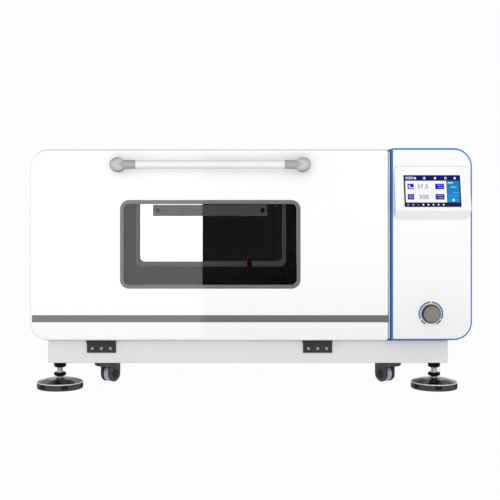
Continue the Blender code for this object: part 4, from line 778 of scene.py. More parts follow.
def lit(name, colour):
    """A backlit patch of the screen, with a slow drift in its light."""
    made, tree, shader = principled(name)
    glow = effect(tree, "paint", {"Colour": colour, "Tone Drift": 0.08})
    join(tree, (glow.outputs["Colour"], shader.inputs["Emission Color"]))
    shader.inputs["Base Color"].default_value = (0.005, 0.005, 0.006, 1)
    shader.inputs["Roughness"].default_value = 0.4
    shader.inputs["Specular IOR Level"].default_value = 0.03
    shader.inputs["Emission Strength"].default_value = 1.0
    return made


# A glossy near-black cone whose light streaks are painted reflections.
def sheen_painted_cone(name, colour, sheen_colour, sheen_amount, spread):
    made, tree, shader = principled(name)
    values = {"Colour": colour, "Sheen Colour": sheen_colour, "Sheen Amount": sheen_amount, "Spread": spread}
    skin = effect(tree, "painted_sheen", values)
    gloss = effect(tree, "paint", {"Roughness": 0.22, "Smear": 0.08})
    shader.inputs["Specular IOR Level"].default_value = 0.2
    join(tree, (skin.outputs["Colour"], shader.inputs["Base Color"]))
    join(tree, (gloss.outputs["Roughness"], shader.inputs["Roughness"]))
    return made


WHITE = paint("door_enamel", 0.93)
INNER_WHITE = paint("inner_skin_enamel", 0.86, 0.25, bump=0.08)
COVER_WHITE = paint("cover_enamel", (0.90, 0.90, 0.905), 0.10)
STRIPE_GREY = paint("stripe_grey", 0.165)
RING_GREY = paint("window_ring_grey", (0.165, 0.165, 0.168))
HOUSING_WHITE = grained("housing_white", (0.85, 0.85, 0.855), 0.35, dust=0.0, bump=0.02)
PLINTH_WHITE = paint("plinth_enamel", 0.79, 0.35, bump=0.06)
SHELL_BLUE = paint("shell_blue", (0.03, 0.17, 0.50), 0.2, bump=0.05)
REAR_WHITE = paint("rear_enamel", (0.82, 0.82, 0.825), 0.3, bump=0.06)
TRIM_BLUE = paint("trim_blue", (0.028, 0.195, 0.56), 0.25, gloss=0.25)
# A darker copy of the trim's blue: painted shade for the rim's side in the gap by the door.
SHADED_SIDE_NAVY = paint("painted_shade_navy", (0.012, 0.055, 0.15), 0.3, gloss=0.2)
# Dark grey of the ring round the door's outline: painted shade for its rounded edge.
EDGE_SHADE_GREY = paint("painted_edge_shade", 0.07, 0.4, gloss=0.2)
DARK = grained("dark_enamel", (0.036, 0.036, 0.038), 0.42)
HINGE_DARK = grained("hinge_dark", (0.036, 0.036, 0.037), 0.5, bump=0.05, gloss=0.2)
CAP_DARK = grained("cap_dark", (0.014, 0.014, 0.015), 0.5, gloss=0.2)
NUT_BLACK = grained("blackened_nut", 0.0015, 0.5, dust=0.0, bump=0.0, gloss=0.08)
SLEEVE_GREY = paint("handle_sleeve_grey", (0.36, 0.36, 0.365), 0.30)
# A lighter copy of the sleeve's grey: painted light on the front-facing handle caps.
LIT_BOSS_GREY = paint("handle_boss_painted_light", (0.52, 0.52, 0.525), 0.25)
BAR_WHITE = paint("handle_bar_white", 0.80, 0.18)
DUCT_BLACK = grained("duct_black", (0.022, 0.022, 0.0224), 0.5, dust=0.0, bump=0.0, gloss=0.05)
RIM_GREY = paint("mirror_rim_grey", 0.10, 0.4)
STRIP_GREY = paint("air_strip_grey", 0.16, 0.35)
STEEL = brushed("brushed_steel", (0.52, 0.53, 0.54), (4.0, 900.0, 900.0))
MIRROR_STEEL = brushed("mirror_steel", 0.86, (3.0, 400.0, 400.0), 0.0, 0.01, 0.0)
KNOB_FACE = brushed("knob_face", (0.225, 0.22, 0.215), (700.0, 700.0, 6.0), 0.30, 0.25)
SCREW_STEEL = brushed("screw_steel", 0.38, (300.0, 300.0, 300.0), 0.35, 0.2)
ZINC = brushed("zinc_plate", (0.70, 0.70, 0.68), (60.0, 60.0, 1200.0), 0.30, 0.15)
STEM_STEEL = brushed("stem_steel", (0.93, 0.93, 0.92), (30.0, 30.0, 1500.0), 0.5, 0.06)
CAST = grained("cast_aluminium", (0.52, 0.52, 0.53), 0.45, scale=500.0, bump=0.3, metallic=0.9)
RUBBER = grained("pad_rubber", (0.056, 0.056, 0.057), 0.5, dust=0.03, bump=0.08, gloss=0.2)
# Near-black sheets on the foot notches' floors: painted shade in the recesses.
NOTCH_SHADE_BLACK = grained("painted_notch_shade", 0.002, 0.8, dust=0.0)
SEAL_RUBBER = grained("seal_rubber", (0.022, 0.022, 0.023), 0.6, dust=0.03)
# The foot cone's light streaks are painted reflections on its near-black base colour.
PAD_CONE = sheen_painted_cone("pad_cone", 0.004, 0.32, 0.8, 1.2)
PAD_RIM = brushed("pad_rim", 0.95, (200.0, 200.0, 900.0), 0.5, 0.04)
WHEEL = grained("wheel_tread", (0.42, 0.44, 0.54), 0.35, dust=0.1)
FOAM = grained("foam", (0.72, 0.66, 0.45), 0.95, dust=0.1, scale=300.0, bump=0.6)
PROBE_RED = paint("probe_red", (0.075, 0.001, 0.005), 0.6, gloss=0.1)
BRASS = brushed("brass", (0.72, 0.52, 0.22), (200.0, 200.0, 200.0), 0.2)
PRINT_BLUE = paint("printed_blue", (0.035, 0.20, 0.47), 0.35, gloss=0.25)
# Dark green of the panes' edges: partly a pane's real edge tint, partly painted shade that keeps the window's inner
# rim dark.
PANE_EDGE = grained("pane_edge", (0.006, 0.010, 0.008), 0.6, dust=0.0, bump=0.0, gloss=0.1)
LINING_BLACK = grained("lining_black", 0.004, 0.9, dust=0.01, bump=0.0, gloss=0.0)
OUTER_PANE = clear_glass("outer_pane", 1.45, 0.5)
INNER_PANE = clear_glass("inner_pane", 1.05, 0.0)
SCREEN_BLACK = grained("screen_black", (0.012, 0.004, 0.022), 0.3, dust=0.0, bump=0.0, gloss=0.1)
SCREEN_NAVY = lit("screen_navy", (0.003, 0.004, 0.11))
SCREEN_PANEL = lit("screen_panel", (0.97, 0.97, 0.99))
SCREEN_BLUE = lit("screen_blue", (0.0, 0.0, 0.72))
SCREEN_DEEP = lit("screen_deep", (0.016, 0.026, 0.32))
SCREEN_CYAN = lit("screen_cyan", (0.0, 0.24, 0.62))
SCREEN_BUTTON = lit("screen_button", (0.0, 0.30, 0.72))
SCREEN_INDIGO = lit("screen_indigo", (0.016, 0.002, 0.10))
SCREEN_WHITE = lit("screen_white", (0.95, 0.95, 0.97))
SCREEN_PALE = lit("screen_pale", (0.42, 0.42, 0.60))
SCREEN_FIGURES = lit("screen_figures", (0.09, 0.08, 0.38))
SCREEN_ROSE = lit("screen_rose", (0.42, 0.05, 0.30))
SCREEN_AMBER = lit("screen_amber", (0.50, 0.55, 0.22))

for made in (WHITE, INNER_WHITE, SEAL_RUBBER, RING_GREY, LINING_BLACK):
    clear_in_mirrors(made)


# Stage, studio and camera


def floor():
    ground = link("floor", bpy.data.meshes.new("floor"))
    bm = bmesh.new()
    bmesh.ops.create_grid(bm, x_segments=1, y_segments=1, size=FLOOR_REACH)
    bmesh.ops.translate(bm, vec=(0, FLOOR_REACH + FLOOR_FRONT, 0), verts=bm.verts)
    filled(bm, ground.data)
    made, tree, shader = principled("pale_floor")
    shader.inputs["Base Color"].default_value = (0.02, 0.02, 0.02, 1)
    shader.inputs["Roughness"].default_value = 1.0
    shader.inputs["Specular IOR Level"].default_value = 0.0
    shader.inputs["Emission Color"].default_value = (1, 1, 1, 1)
    seen = node(tree, "ShaderNodeLightPath").outputs["Is Camera Ray"]
    join(tree, (blend(tree, seen, FLOOR_LIGHT, FLOOR_SEEN), shader.inputs["Emission Strength"]))
    ground.data.materials.append(made)


def studio():
    """Light mostly from the front; behind the camera a bright wall, and a dark doorway right of it."""
    world = bpy.data.worlds.new("studio")
    bpy.context.scene.world = world
    world.use_nodes = True
    tree = world.node_tree
    tree.nodes.clear()
    axes = node(tree, "ShaderNodeSeparateXYZ")
    join(tree, (node(tree, "ShaderNodeTexCoord").outputs["Generated"], axes.inputs[0]))
    toward = combine(tree, "MULTIPLY", axes.outputs["Y"], -1.0)
    reach = combine(tree, "MAXIMUM", toward, 0.0001)
    across = combine(tree, "DIVIDE", axes.outputs["X"], reach)
    upward = combine(tree, "DIVIDE", axes.outputs["Z"], reach)

    def between(source, low, high):
        above = combine(tree, "GREATER_THAN", source, low)
        return combine(tree, "MULTIPLY", above, combine(tree, "LESS_THAN", source, high))

    def lobe(facing, light):
        focused = combine(tree, "POWER", combine(tree, "MAXIMUM", facing, 0.0), LIGHT_FOCUS)
        return combine(tree, "MULTIPLY", focused, light)

    front = lobe(toward, FRONT_LIGHT)
    rear = lobe(axes.outputs["Y"], REAR_LIGHT)
    room = combine(tree, "ADD", combine(tree, "ADD", front, rear), ROOM_LIGHT)
    height = between(upward, REFLECTED_LOW, REFLECTED_HIGH)
    level = combine(tree, "MULTIPLY", height, between(toward, 0.0, 2.0))
    bright = combine(tree, "MULTIPLY", between(across, BRIGHT_REACH, EDGE_SLOPE), level)
    dark = combine(tree, "MULTIPLY", between(across, EDGE_SLOPE, DARK_REACH), level)
    glow = blend(tree, dark, blend(tree, bright, room, BRIGHT_LIGHT), DARK_LIGHT)
    rays = node(tree, "ShaderNodeLightPath")
    shown = blend(tree, rays.outputs["Is Camera Ray"], glow, BACKDROP)
    background = node(tree, "ShaderNodeBackground", {"Color": (1, 1, 1, 1)})
    output = node(tree, "ShaderNodeOutputWorld")
    join(tree, (shown, background.inputs["Strength"]), (background.outputs[0], output.inputs[0]))


def camera():
    data = bpy.data.cameras.new("camera")
    data.lens = LENS_MM
    data.shift_x = SHIFT_X
    data.shift_y = SHIFT_Y
    view = link("camera", data)
    view.location = (CAMERA_X, DOOR_FACE - CAMERA_DISTANCE, CAMERA_Z)
    view.rotation_euler = (math.radians(90), 0, 0)
    bpy.context.scene.camera = view


# Door


def door_skin():
    skin = plate("door_skin", [door_outline(EDGE_BAND)], DOOR_FACE, DOOR_BACK)
    ease(skin, DOOR_FACE, DOOR_FILLET - EDGE_BAND, 8)
    hollow = plate("hollow", [door_outline(DOOR_FILLET)], DOOR_FACE + SHEET, DOOR_BACK + SHEET)
    rim = plate("rim", [door_outline(EDGE_BAND + SHEET)], DOOR_FACE + DOOR_FILLET, DOOR_BACK + SHEET)
    hole = plate("hole", [window_outline(-GAP)], DOOR_FACE - SHEET, DOOR_FACE + 2 * SHEET)
    notches = []
    for side in ("left", "right"):
        low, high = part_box(f"hinge_plate_{side}")
        corner = (low.x - NOTCH_SIDE, DOOR_FACE + NOTCH_FRONT, DOOR[0].z - SHEET)
        top = (high.x + NOTCH_SIDE, DOOR_BACK + SHEET, DOOR[0].z + NOTCH_HEIGHT)
        notches.append(block("notch", corner, top))
    carve(skin, hollow, rim, hole, *notches)
    dress(skin, WHITE, "door", "door_panel")
    # A dark ring behind the skin's edge: painted shade that draws the thin dark line of the door's rounded edge.
    front = DOOR_FACE + EDGE_BAND_DEPTH
    loops = [door_outline(), door_outline(EDGE_BAND + GAP)]
    edge_ring = plate("door_edge_shade", loops, front, front + EDGE_BAND_WIDTH, edge=(EDGE_BAND / 3, 2))
    dress(edge_ring, EDGE_SHADE_GREY, "door")


def door_stripe():
    low = (DOOR[0].x + DOOR_FILLET, DOOR_FACE - PRINT, STRIPE_LOW)
    stripe = block("door_stripe", low, (DOOR[1].x - STRIPE_END, DOOR_FACE, STRIPE_HIGH))
    dress(ease(stripe, DOOR_FACE - PRINT, PRINT / 2, 1), STRIPE_GREY, "door")


def window():
    loops = [window_outline(), window_outline(WINDOW_RING)]
    ring = plate("window_ring", loops, BEZEL[0].y, BEZEL[1].y, edge=(WINDOW_RING_EDGE, 4))
    dress(ring, RING_GREY, "door", "window_bezel")
    for name, box, made in (("outer_glass", OUTER_GLASS, OUTER_PANE), ("inner_glass", INNER_GLASS, INNER_PANE)):
        outline = within(box, 0, (WINDOW_RADIUS - WINDOW_RING,) * 4)
        pane = plate(f"{name}_pane", [outline], box[0].y, box[1].y, edge=(PANE_EDGE_WIDTH, 1))
        dress(ease(pane, box[1].y, PANE_EDGE_WIDTH, 1), made, "door", name)
        # The panes' edge faces take the dark edge finish: real glass-edge tint and painted shade along the window's
        # rim.
        pane.data.materials.append(PANE_EDGE)
        for face in pane.data.polygons:
            face.material_index = int(abs(face.normal.y) < PANE_FACE_TILT)
    inset = WINDOW_RING + GAP / 3
    loops = [window_outline(inset), window_outline(inset + LINING_WIDTH)]
    spans = (OUTER_GLASS[1].y, INNER_GLASS[0].y), (INNER_GLASS[1].y, DOOR_BACK)
    for index, (start, end) in enumerate(spans, 1):
        lining = plate(f"window_lining_{index}", loops, start + GAP, end - GAP, edge=(GAP, 2))
        dress(lining, LINING_BLACK, "door")


def handle():
    bar_y = (BAR[0].y + BAR[1].y) / 2
    bar_z = (BAR[0].z + BAR[1].z) / 2
    ends = (BAR[0].x, bar_y, bar_z), (BAR[1].x, bar_y, bar_z)
    tube = rod("handle_tube", HANDLE_BAR_RADIUS, *ends, HANDLE_BAR_EDGE)
    dress(tube, BAR_WHITE, "door", "handle_bar")
    back = DOOR_FACE - GAP
    height = back - HANDLE_FRONT - HANDLE_POST_SHORT
    radius = HANDLE_POST_RADIUS
    for side, toward in (("left", 1), ("right", -1)):
        low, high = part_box(f"handle_mount_{side}")
        x = low.x + radius if toward > 0 else high.x - radius
        profile = [(0, height), *dome(radius, height, HANDLE_POST_WALL, range(10, 91, 8))]
        profile += [(radius, HANDLE_POST_FOOT), (radius - HANDLE_POST_FOOT, 0), (0, 0)]
        post = lathe(f"handle_post_{side}", profile, (x, back, bar_z), "front", 72)
        start = Vector((x, bar_y + SLEEVE_EXTRA, bar_z))
        end = start + Vector((toward * (HANDLE_SLEEVE_LENGTH - GAP), 0, 0))
        sleeve = rod("sleeve", HANDLE_BAR_RADIUS + SLEEVE_EXTRA, start, end, SLEEVE_EDGE)
        carve(post, sleeve, operation="UNION")
        dress(post, SLEEVE_GREY, "door", f"handle_mount_{side}")
        handle_boss(side, toward, Vector((x, HANDLE_FRONT + HANDLE_BOSS[1], bar_z)))


def handle_boss(side, toward, centre):
    """An egg-shaped cap on a handle post, narrower towards the bar; its lighter grey is painted light for the
    front-facing cap.
    """
    bm = bmesh.new()
    bmesh.ops.create_uvsphere(bm, u_segments=64, v_segments=32, radius=1.0)
    for vertex in bm.verts:
        inward = max(vertex.co.x * toward, 0)
        vertex.co.z *= HANDLE_BOSS[2] * (1 - HANDLE_BOSS_TAPER * inward**2)
        vertex.co.x *= HANDLE_BOSS[0] * (1 + HANDLE_BOSS_STRETCH * inward)
        vertex.co.y *= HANDLE_BOSS[1]
    name = f"handle_boss_{side}"
    boss = settle(link(name, filled(bm, bpy.data.meshes.new(name))))
    boss.location = centre + Vector((toward * HANDLE_BOSS_SHIFT, 0, 0))
    dress(boss, LIT_BOSS_GREY, "door")


def hinge_flanges():
    for side in ("left", "right"):
        low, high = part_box(f"hinge_plate_{side}")
        top = PLINTH_TOP - GAP
        front = PLINTH_FRONT - HINGE_THICKNESS
        back = PLINTH_FRONT - GAP
        corner = (low.x, front, top - HINGE_HEIGHT)
        flange = block(f"hinge_flange_{side}", corner, (high.x, back, top), HINGE_EDGE, 2)
        corner = (low.x - HINGE_BAND_SIDE, front - HINGE_BAND_FRONT, top - HINGE_BAND)
        band = block("band", corner, (high.x + GAP, back - GAP, top - GAP), HINGE_BAND_EDGE, 2)
        dress(fuse(flange, band), HINGE_DARK, "cabinet")
        for index in (-1, 0, 1):
            x = (low.x + high.x) / 2 + index * HINGE_SCREW_SPACING
            place = (x, front, PLINTH_TOP - HINGE_SCREW_DROP)
            screw_head(f"hinge_screw_{side}_{index + 2}", HINGE_SCREW_RADIUS, place, "cabinet")


def screw_head(name, radius, place, body, made=None, height=SCREW_HEIGHT, rear=False):
    """A low domed screw head with a hexagon socket, standing before a wall or behind it."""
    profile = [(0, height), *dome(radius, height, SCREW_WALL, range(30, 91, 15)), (radius, 0), (0, 0)]
    head = lathe(name, profile, place, "front", 28)
    outline = hexagon(place[0], place[2], radius * SOCKET_WIDTH)
    carve(head, plate("socket", [outline], place[1] - 2 * height, place[1] - height * SOCKET_FLOOR))
    if rear:
        head.rotation_euler.z = math.pi
    dress(head, made or SCREW_STEEL, body)


def rear_screws():
    """Screws round the rear cover."""
    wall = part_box("rear_cover")[1].y
    for index, (x, z) in enumerate(REAR_SCREWS, 1):
        screw_head(f"rear_screw_{index}", REAR_SCREW_RADIUS, (x, wall, z), "cabinet", rear=True)


# Inside the chamber, behind the window


def mirror():
    low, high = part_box("duct_panel")
    outer = round_rect(low.x, high.x, low.z, high.z, MIRROR_RADIUS)
    inner = [low.x + MIRROR_RIM, high.x - MIRROR_RIM_RIGHT, low.z + MIRROR_RIM_LOW, high.z - MIRROR_RIM_LOW]
    loops = [outer, round_rect(*inner, MIRROR_INNER_RADIUS)]
    rim = plate("mirror_rim", loops, low.y, high.y, edge=(MIRROR_RIM_EDGE, 2))
    dress(rim, RIM_GREY, "cabinet", "duct_panel")
    inner = [inner[0] + GAP, inner[1] - GAP, inner[2] + GAP, inner[3] - GAP]
    front = low.y + MIRROR_DROP
    loops = [round_rect(*inner, MIRROR_INNER_RADIUS - GAP)]
    face = plate("mirror_face", loops, front, high.y, edge=(MIRROR_EDGE, 2))
    dress(face, MIRROR_STEEL, "cabinet")
    radius, height = PANEL_SCREW_SIZE
    for index, (x, z) in enumerate(PANEL_SCREWS, 1):
        screw_head(f"mirror_screw_{index}", radius, (x, front, z), "cabinet", height=height)
    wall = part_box("duct_cover")[0].y
    radius, height = COVER_SCREW_SIZE
    for index, (x, z) in enumerate(COVER_SCREWS, 1):
        screw_head(f"cover_screw_{index}", radius, (x, wall, z), "cabinet", DARK, height)


def air_strip():
    low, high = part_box("air_baffle")
    middle = (low.z + high.z) / 2
    ends = {"left": low.x + STRIP_END, "right": high.x - STRIP_END}
    loops = [round_rect(low.x, high.x, low.z, high.z, STRIP_RADIUS, 6)]
    loops += [circle(x, middle, STRIP_HOLE, 40) for x in ends.values()]
    strip = plate("air_strip", loops, low.y, high.y, edge=(STRIP_EDGE, 2))
    dress(strip, STRIP_GREY, "cabinet", "air_baffle")
    for side, x in ends.items():
        plug = lathe(f"air_strip_plug_{side}", STRIP_PLUG, (x, high.y, middle), "front", 40)
        dress(plug, DUCT_BLACK, "cabinet")


# Control column


def column():
    low, high = COLUMN
    trim = plate("column_rim", [column_outline(), cover_outline()], low.y, high.y, edge=(TRIM_EDGE, 3))
    dress(trim, TRIM_BLUE, "cabinet", "column_trim")
    # A navy strip beside the blue rim: painted shade where the rim's side lies in the gap's shadow.
    side = low.x - TRIM_SIDE_START
    start = (side, low.y + TRIM_SIDE_DEPTH, low.z + COLUMN_INNER_RADIUS / 2)
    end = (low.x - GAP / 3, high.y, high.z - COLUMN_INNER_RADIUS / 2)
    dress(block("column_side_shade", start, end, TRIM_SIDE_EDGE), SHADED_SIDE_NAVY, "cabinet")
    start = (DOOR[1].x + DOOR_SEAL_START, DOOR_FACE + DOOR_SEAL_DEPTH, DOOR[0].z + COLUMN_INNER_RADIUS)
    end = (side - GAP / 3, high.y, DOOR[1].z - COLUMN_INNER_RADIUS)
    dress(block("column_edge", start, end, DOOR_SEAL_EDGE, 2), INNER_WHITE, "cabinet")
    face = plate("column_face", [cover_outline(GAP)], COVER_FACE, COVER[1].y, edge=(COVER_EDGE, 4))
    bore = [circle(KNOB_MIDDLE.x, KNOB_MIDDLE.z, SPINDLE_BORE)]
    carve(face, plate("bore", bore, COVER_FACE - SHEET, COVER[1].y + SHEET))
    dress(face, COVER_WHITE, "cabinet", "column_cover")


def selector():
    place = (KNOB_MIDDLE.x, COVER_FACE, KNOB_MIDDLE.z)
    outer, height, edge = KNOB_RING_RADIUS, KNOB_RING_HEIGHT, KNOB_RING_EDGE
    inner = outer - KNOB_RING_WIDTH
    slope, drop = KNOB_RING_SLOPE
    profile = [(inner, height - drop), (inner + slope, height)]
    profile += arc((outer - edge, height - edge), edge, 90, 0, 5)
    profile += [(outer, GAP), (inner, GAP)]
    dress(lathe("knob_ring", profile, place, "front", 96), DARK, "cabinet")
    place = (KNOB_MIDDLE.x, KNOB[1].y, KNOB_MIDDLE.z)
    depth = KNOB[1].y - KNOB[0].y
    radius = (KNOB[1].x - KNOB[0].x) / 2
    edge, dish = KNOB_EDGE, depth - KNOB_DISH
    profile = [(0, dish), (radius - KNOB_DISH_START, dish), (radius - KNOB_DISH_END, depth)]
    profile += arc((radius - edge, depth - edge), edge, 90, 0, 5)
    profile += [(radius, KNOB_FOOT), (radius - KNOB_FOOT, 0), (0, 0)]
    dress(lathe("knob_cap", profile, place, "front", 96), KNOB_FACE, "knob", "selector_knob")
    near, far = radius + GAP / 6, radius + 2 * GAP
    profile = [(near, depth * KNOB_GRIP_TOP), (far, depth * KNOB_GRIP_SHOULDER), (far, 2 * GAP), (near, GAP * 2 / 3)]
    dress(lathe("knob_grip", profile, place, "front", 96), DARK, "knob")
    for index, (start, end) in enumerate(KNOB_ARCS, 1):
        knob_arc(f"knob_arc_{index}", (KNOB_MIDDLE.x, KNOB_MIDDLE.z), start, end)


def knob_arc(name, centre, start, end):
    """A printed arc round the knob with round ends."""
    half = KNOB_ARC_WIDTH / 2
    points = arc(centre, KNOB_ARC_RADIUS + half, start, end, 40)
    points += arc(around(centre, KNOB_ARC_RADIUS, end), half, end, end + 180, 8)[1:-1]
    points += arc(centre, KNOB_ARC_RADIUS - half, end, start, 40)
    points += arc(around(centre, KNOB_ARC_RADIUS, start), half, start + 180, start + 360, 8)[1:-1]
    mark = plate(name, [points], COVER_FACE - PRINT, COVER_FACE)
    dress(mark, PRINT_BLUE, "cabinet")


# Screen


def screen_place():
    """The middle of the screen on the housing's leaning face: X across, Z up, Y into the face."""
    middle = (SCREEN_LOW + SCREEN_HIGH) / 2
    reach = HOUSING_TOP_REACH + (HOUSING[1].z - middle) * math.tan(HOUSING_LEAN)
    place = Matrix.Translation(((SCREEN[0].x + SCREEN[1].x) / 2, COVER_FACE - reach, middle))
    return place @ Matrix.Rotation(-HOUSING_LEAN, 4, "X")


def leaning_block(name, near, far, grow, margin, radius):
    """A block in the screen's own frame, wider at its near face by a margin."""
    bm = bmesh.new()
    rings = []
    for y, wider in ((near, grow + margin), (far, grow)):
        width, height = SCREEN_HALF_WIDTH + wider, SCREEN_HALF_HEIGHT + wider
        outline = round_rect(-width, width, -height, height, radius + wider * 0.6, 6)
        rings.append([bm.verts.new((x, y, z)) for x, z in outline])
    near_ring, far_ring = rings
    for index in range(len(near_ring)):
        bm.faces.new((near_ring[index - 1], near_ring[index], far_ring[index], far_ring[index - 1]))
    bm.faces.new(near_ring)
    bm.faces.new(far_ring)
    bmesh.ops.recalc_face_normals(bm, faces=bm.faces)
    mesh = filled(bm, bpy.data.meshes.new(name))
    mesh.transform(screen_place())
    return settle(link(name, mesh))


def rounded(before, corner, after, reach, steps=8):
    """Points of a soft corner that starts and ends at a reach from it."""
    corner = Vector(corner)
    start = corner + (Vector(before) - corner).normalized() * reach
    end = corner + (Vector(after) - corner).normalized() * reach
    places = [step / steps for step in range(steps + 1)]
    return [tuple(start.lerp(corner, share).lerp(corner.lerp(end, share), share)) for share in places]


def screen_housing():
    foot = COVER_FACE - GAP
    top = (COVER_FACE - HOUSING_TOP_REACH, HOUSING_TOP)
    lip = (COVER_FACE - HOUSING_LIP_REACH, HOUSING_LIP_Z)
    low = (COVER_FACE - HOUSING_FOOT_REACH, HOUSING[0].z)
    side = [(foot, HOUSING_TOP), top, *rounded(top, lip, low, HOUSING_LIP_RADIUS), low, (foot, HOUSING[0].z)]
    case = plate("screen_case", [side], HOUSING[0].x, HOUSING[1].x, "side")
    outline = within(HOUSING, 0, (HOUSING_RADIUS,) * 4, 12)
    carve(case, plate("trim", [outline], COVER_FACE - 0.1, COVER_FACE + SHEET), operation="INTERSECT")
    soft = case.modifiers.new("Soft edges", "BEVEL")
    soft.width = HOUSING_EDGE
    soft.segments = 5
    soft.limit_method = "ANGLE"
    soft.angle_limit = math.radians(25)
    mesh = evaluated(case)
    case.modifiers.clear()
    case.data = mesh
    recess = leaning_block("recess", -RECESS_DEPTH, RECESS_DEPTH, 0.0, 2 * RECESS_MARGIN, RECESS_RADIUS)
    pocket = leaning_block("pocket", -2 * RECESS_DEPTH, POCKET_DEPTH, GAP, 0.0, POCKET_RADIUS)
    carve(case, recess, pocket)
    dress(case, HOUSING_WHITE, "cabinet", "screen_housing")


def on_screen(x, z):
    """A place on the screen from shares of its width and height, from its lower left."""
    return ((x - 0.5) * 2 * SCREEN_HALF_WIDTH, (z - 0.5) * 2 * SCREEN_HALF_HEIGHT)


def screen_mark(name, loops, made, layer):
    """A thin lit layer on the screen's face."""
    near = RECESS_DEPTH - layer * SCREEN_LAYER
    mark = plate(f"screen_{name}", loops, near, near + SCREEN_LAYER * 0.9)
    mark.data.transform(screen_place())
    dress(mark, made, "cabinet")


def screen_patch(name, left, right, low, high, made, layer=1, radius=0.0006):
    (x0, z0), (x1, z1) = on_screen(left, low), on_screen(right, high)
    screen_mark(name, [round_rect(x0, x1, z0, z1, radius, 4)], made, layer)


def screen_disc(name, x, z, radius, made, layer=2, hole=0.0):
    """A round mark or ring whose radius is a share of the screen's height."""
    loops = []
    for size in (radius, hole):
        if size:
            loops.append([on_screen(x + (px - x) * SCREEN_SHAPE, pz) for px, pz in circle(x, z, size, 24)])
    screen_mark(name, loops, made, layer)


def screen_figures(name, text, left, low, height, made):
    """Plain figures in the screen's plane."""
    name = f"screen_{name}"
    font = bpy.data.curves.new(name, "FONT")
    font.body = text
    font.size = height * 2 * SCREEN_HALF_HEIGHT * FIGURE_SIZE
    font.extrude = SCREEN_LAYER * 0.4
    font.offset = font.size * FIGURE_WEIGHT
    font.space_character = FIGURE_SPACING
    writing = link(name, font)
    mesh = evaluated(writing)
    bpy.data.objects.remove(writing)
    x, z = on_screen(left, low)
    mesh.transform(FACING["front"].to_matrix().to_4x4())
    mesh.transform(Matrix.Translation((x, RECESS_DEPTH - 2 * SCREEN_LAYER, z)))
    mesh.transform(screen_place())
    dress(link(name, mesh), made, "cabinet")


def screen():
    glass = leaning_block("screen_glass", RECESS_DEPTH, RECESS_DEPTH + GLASS_THICKNESS, 0.0, 0.0, GLASS_RADIUS)
    dress(glass, SCREEN_BLACK, "cabinet", "touch_screen")
    screen_patch("bar_top", 0.008, 0.992, 0.826, 0.994, SCREEN_NAVY)
    screen_patch("bar_low", 0.008, 0.992, 0.008, 0.128, SCREEN_INDIGO)
    screen_patch("main", 0.026, 0.752, 0.140, 0.822, SCREEN_PANEL)
    screen_patch("side", 0.762, 0.980, 0.140, 0.822, SCREEN_CYAN)
    screen_patch("key", 0.770, 0.972, 0.150, 0.292, SCREEN_BUTTON, 2)
    screen_patch("key_line", 0.770, 0.972, 0.345, 0.352, SCREEN_PALE, 2, 0.0)
    screen_patch("key_mark", 0.848, 0.886, 0.185, 0.250, SCREEN_WHITE, 3)
    for row, low, made in ((1, 0.555, SCREEN_BLUE), (2, 0.228, SCREEN_DEEP)):
        screen_patch(f"tile_{row}", 0.062, 0.172, low, low + 0.175, made, 2)
        screen_patch(f"set_{row}", 0.552, 0.710, low, low + 0.175, made, 2)
        screen_patch(f"set_line_{row}", 0.585, 0.680, low + 0.115, low + 0.135, SCREEN_PALE, 3, 0.0)
        screen_patch(f"set_mark_{row}", 0.600, 0.690, low + 0.045, low + 0.065, SCREEN_PALE, 3, 0.0)
    screen_patch("tile_stroke", 0.085, 0.108, 0.590, 0.690, SCREEN_WHITE, 3)
    screen_patch("tile_foot", 0.085, 0.160, 0.585, 0.615, SCREEN_WHITE, 3)
    screen_disc("tile_ring", 0.117, 0.315, 0.050, SCREEN_PALE, 3, 0.030)
    screen_figures("value_1", "37.5", 0.232, 0.580, 0.130, SCREEN_FIGURES)
    screen_figures("value_2", "300", 0.262, 0.252, 0.130, SCREEN_FIGURES)
    screen_patch("unit_1", 0.472, 0.484, 0.560, 0.585, SCREEN_AMBER, 2, 0.0)
    screen_patch("unit_2", 0.465, 0.505, 0.338, 0.352, SCREEN_PALE, 2, 0.0)
    screen_patch("battery", 0.030, 0.170, 0.870, 0.955, SCREEN_PALE, 2)
    for index, (x, hole) in enumerate(((0.200, 0.0), (0.365, 0.0), (0.555, 0.0), (0.742, 0.018), (0.905, 0.0)), 1):
        screen_disc(f"icon_{index}", x, 0.905, 0.036, SCREEN_WHITE, 2, hole)
    for index, made in enumerate([SCREEN_PALE] * 2 + [SCREEN_ROSE] + [SCREEN_WHITE] * 5):
        screen_disc(f"dot_{index + 1}", 0.062 + index * 0.0893, 0.070, 0.026, made)
    screen_patch("side_head", 0.776, 0.868, 0.745, 0.775, SCREEN_WHITE, 2, 0.0)
    screen_patch("side_value", 0.818, 0.930, 0.605, 0.635, SCREEN_AMBER, 2, 0.0)
    screen_patch("side_note", 0.860, 0.955, 0.432, 0.448, SCREEN_PALE, 2, 0.0)


# Plinth, feet and casters


def foot_axis(place):
    low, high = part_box(f"foot_pad_{place}")
    return (low.x + high.x) / 2, (low.y + high.y) / 2


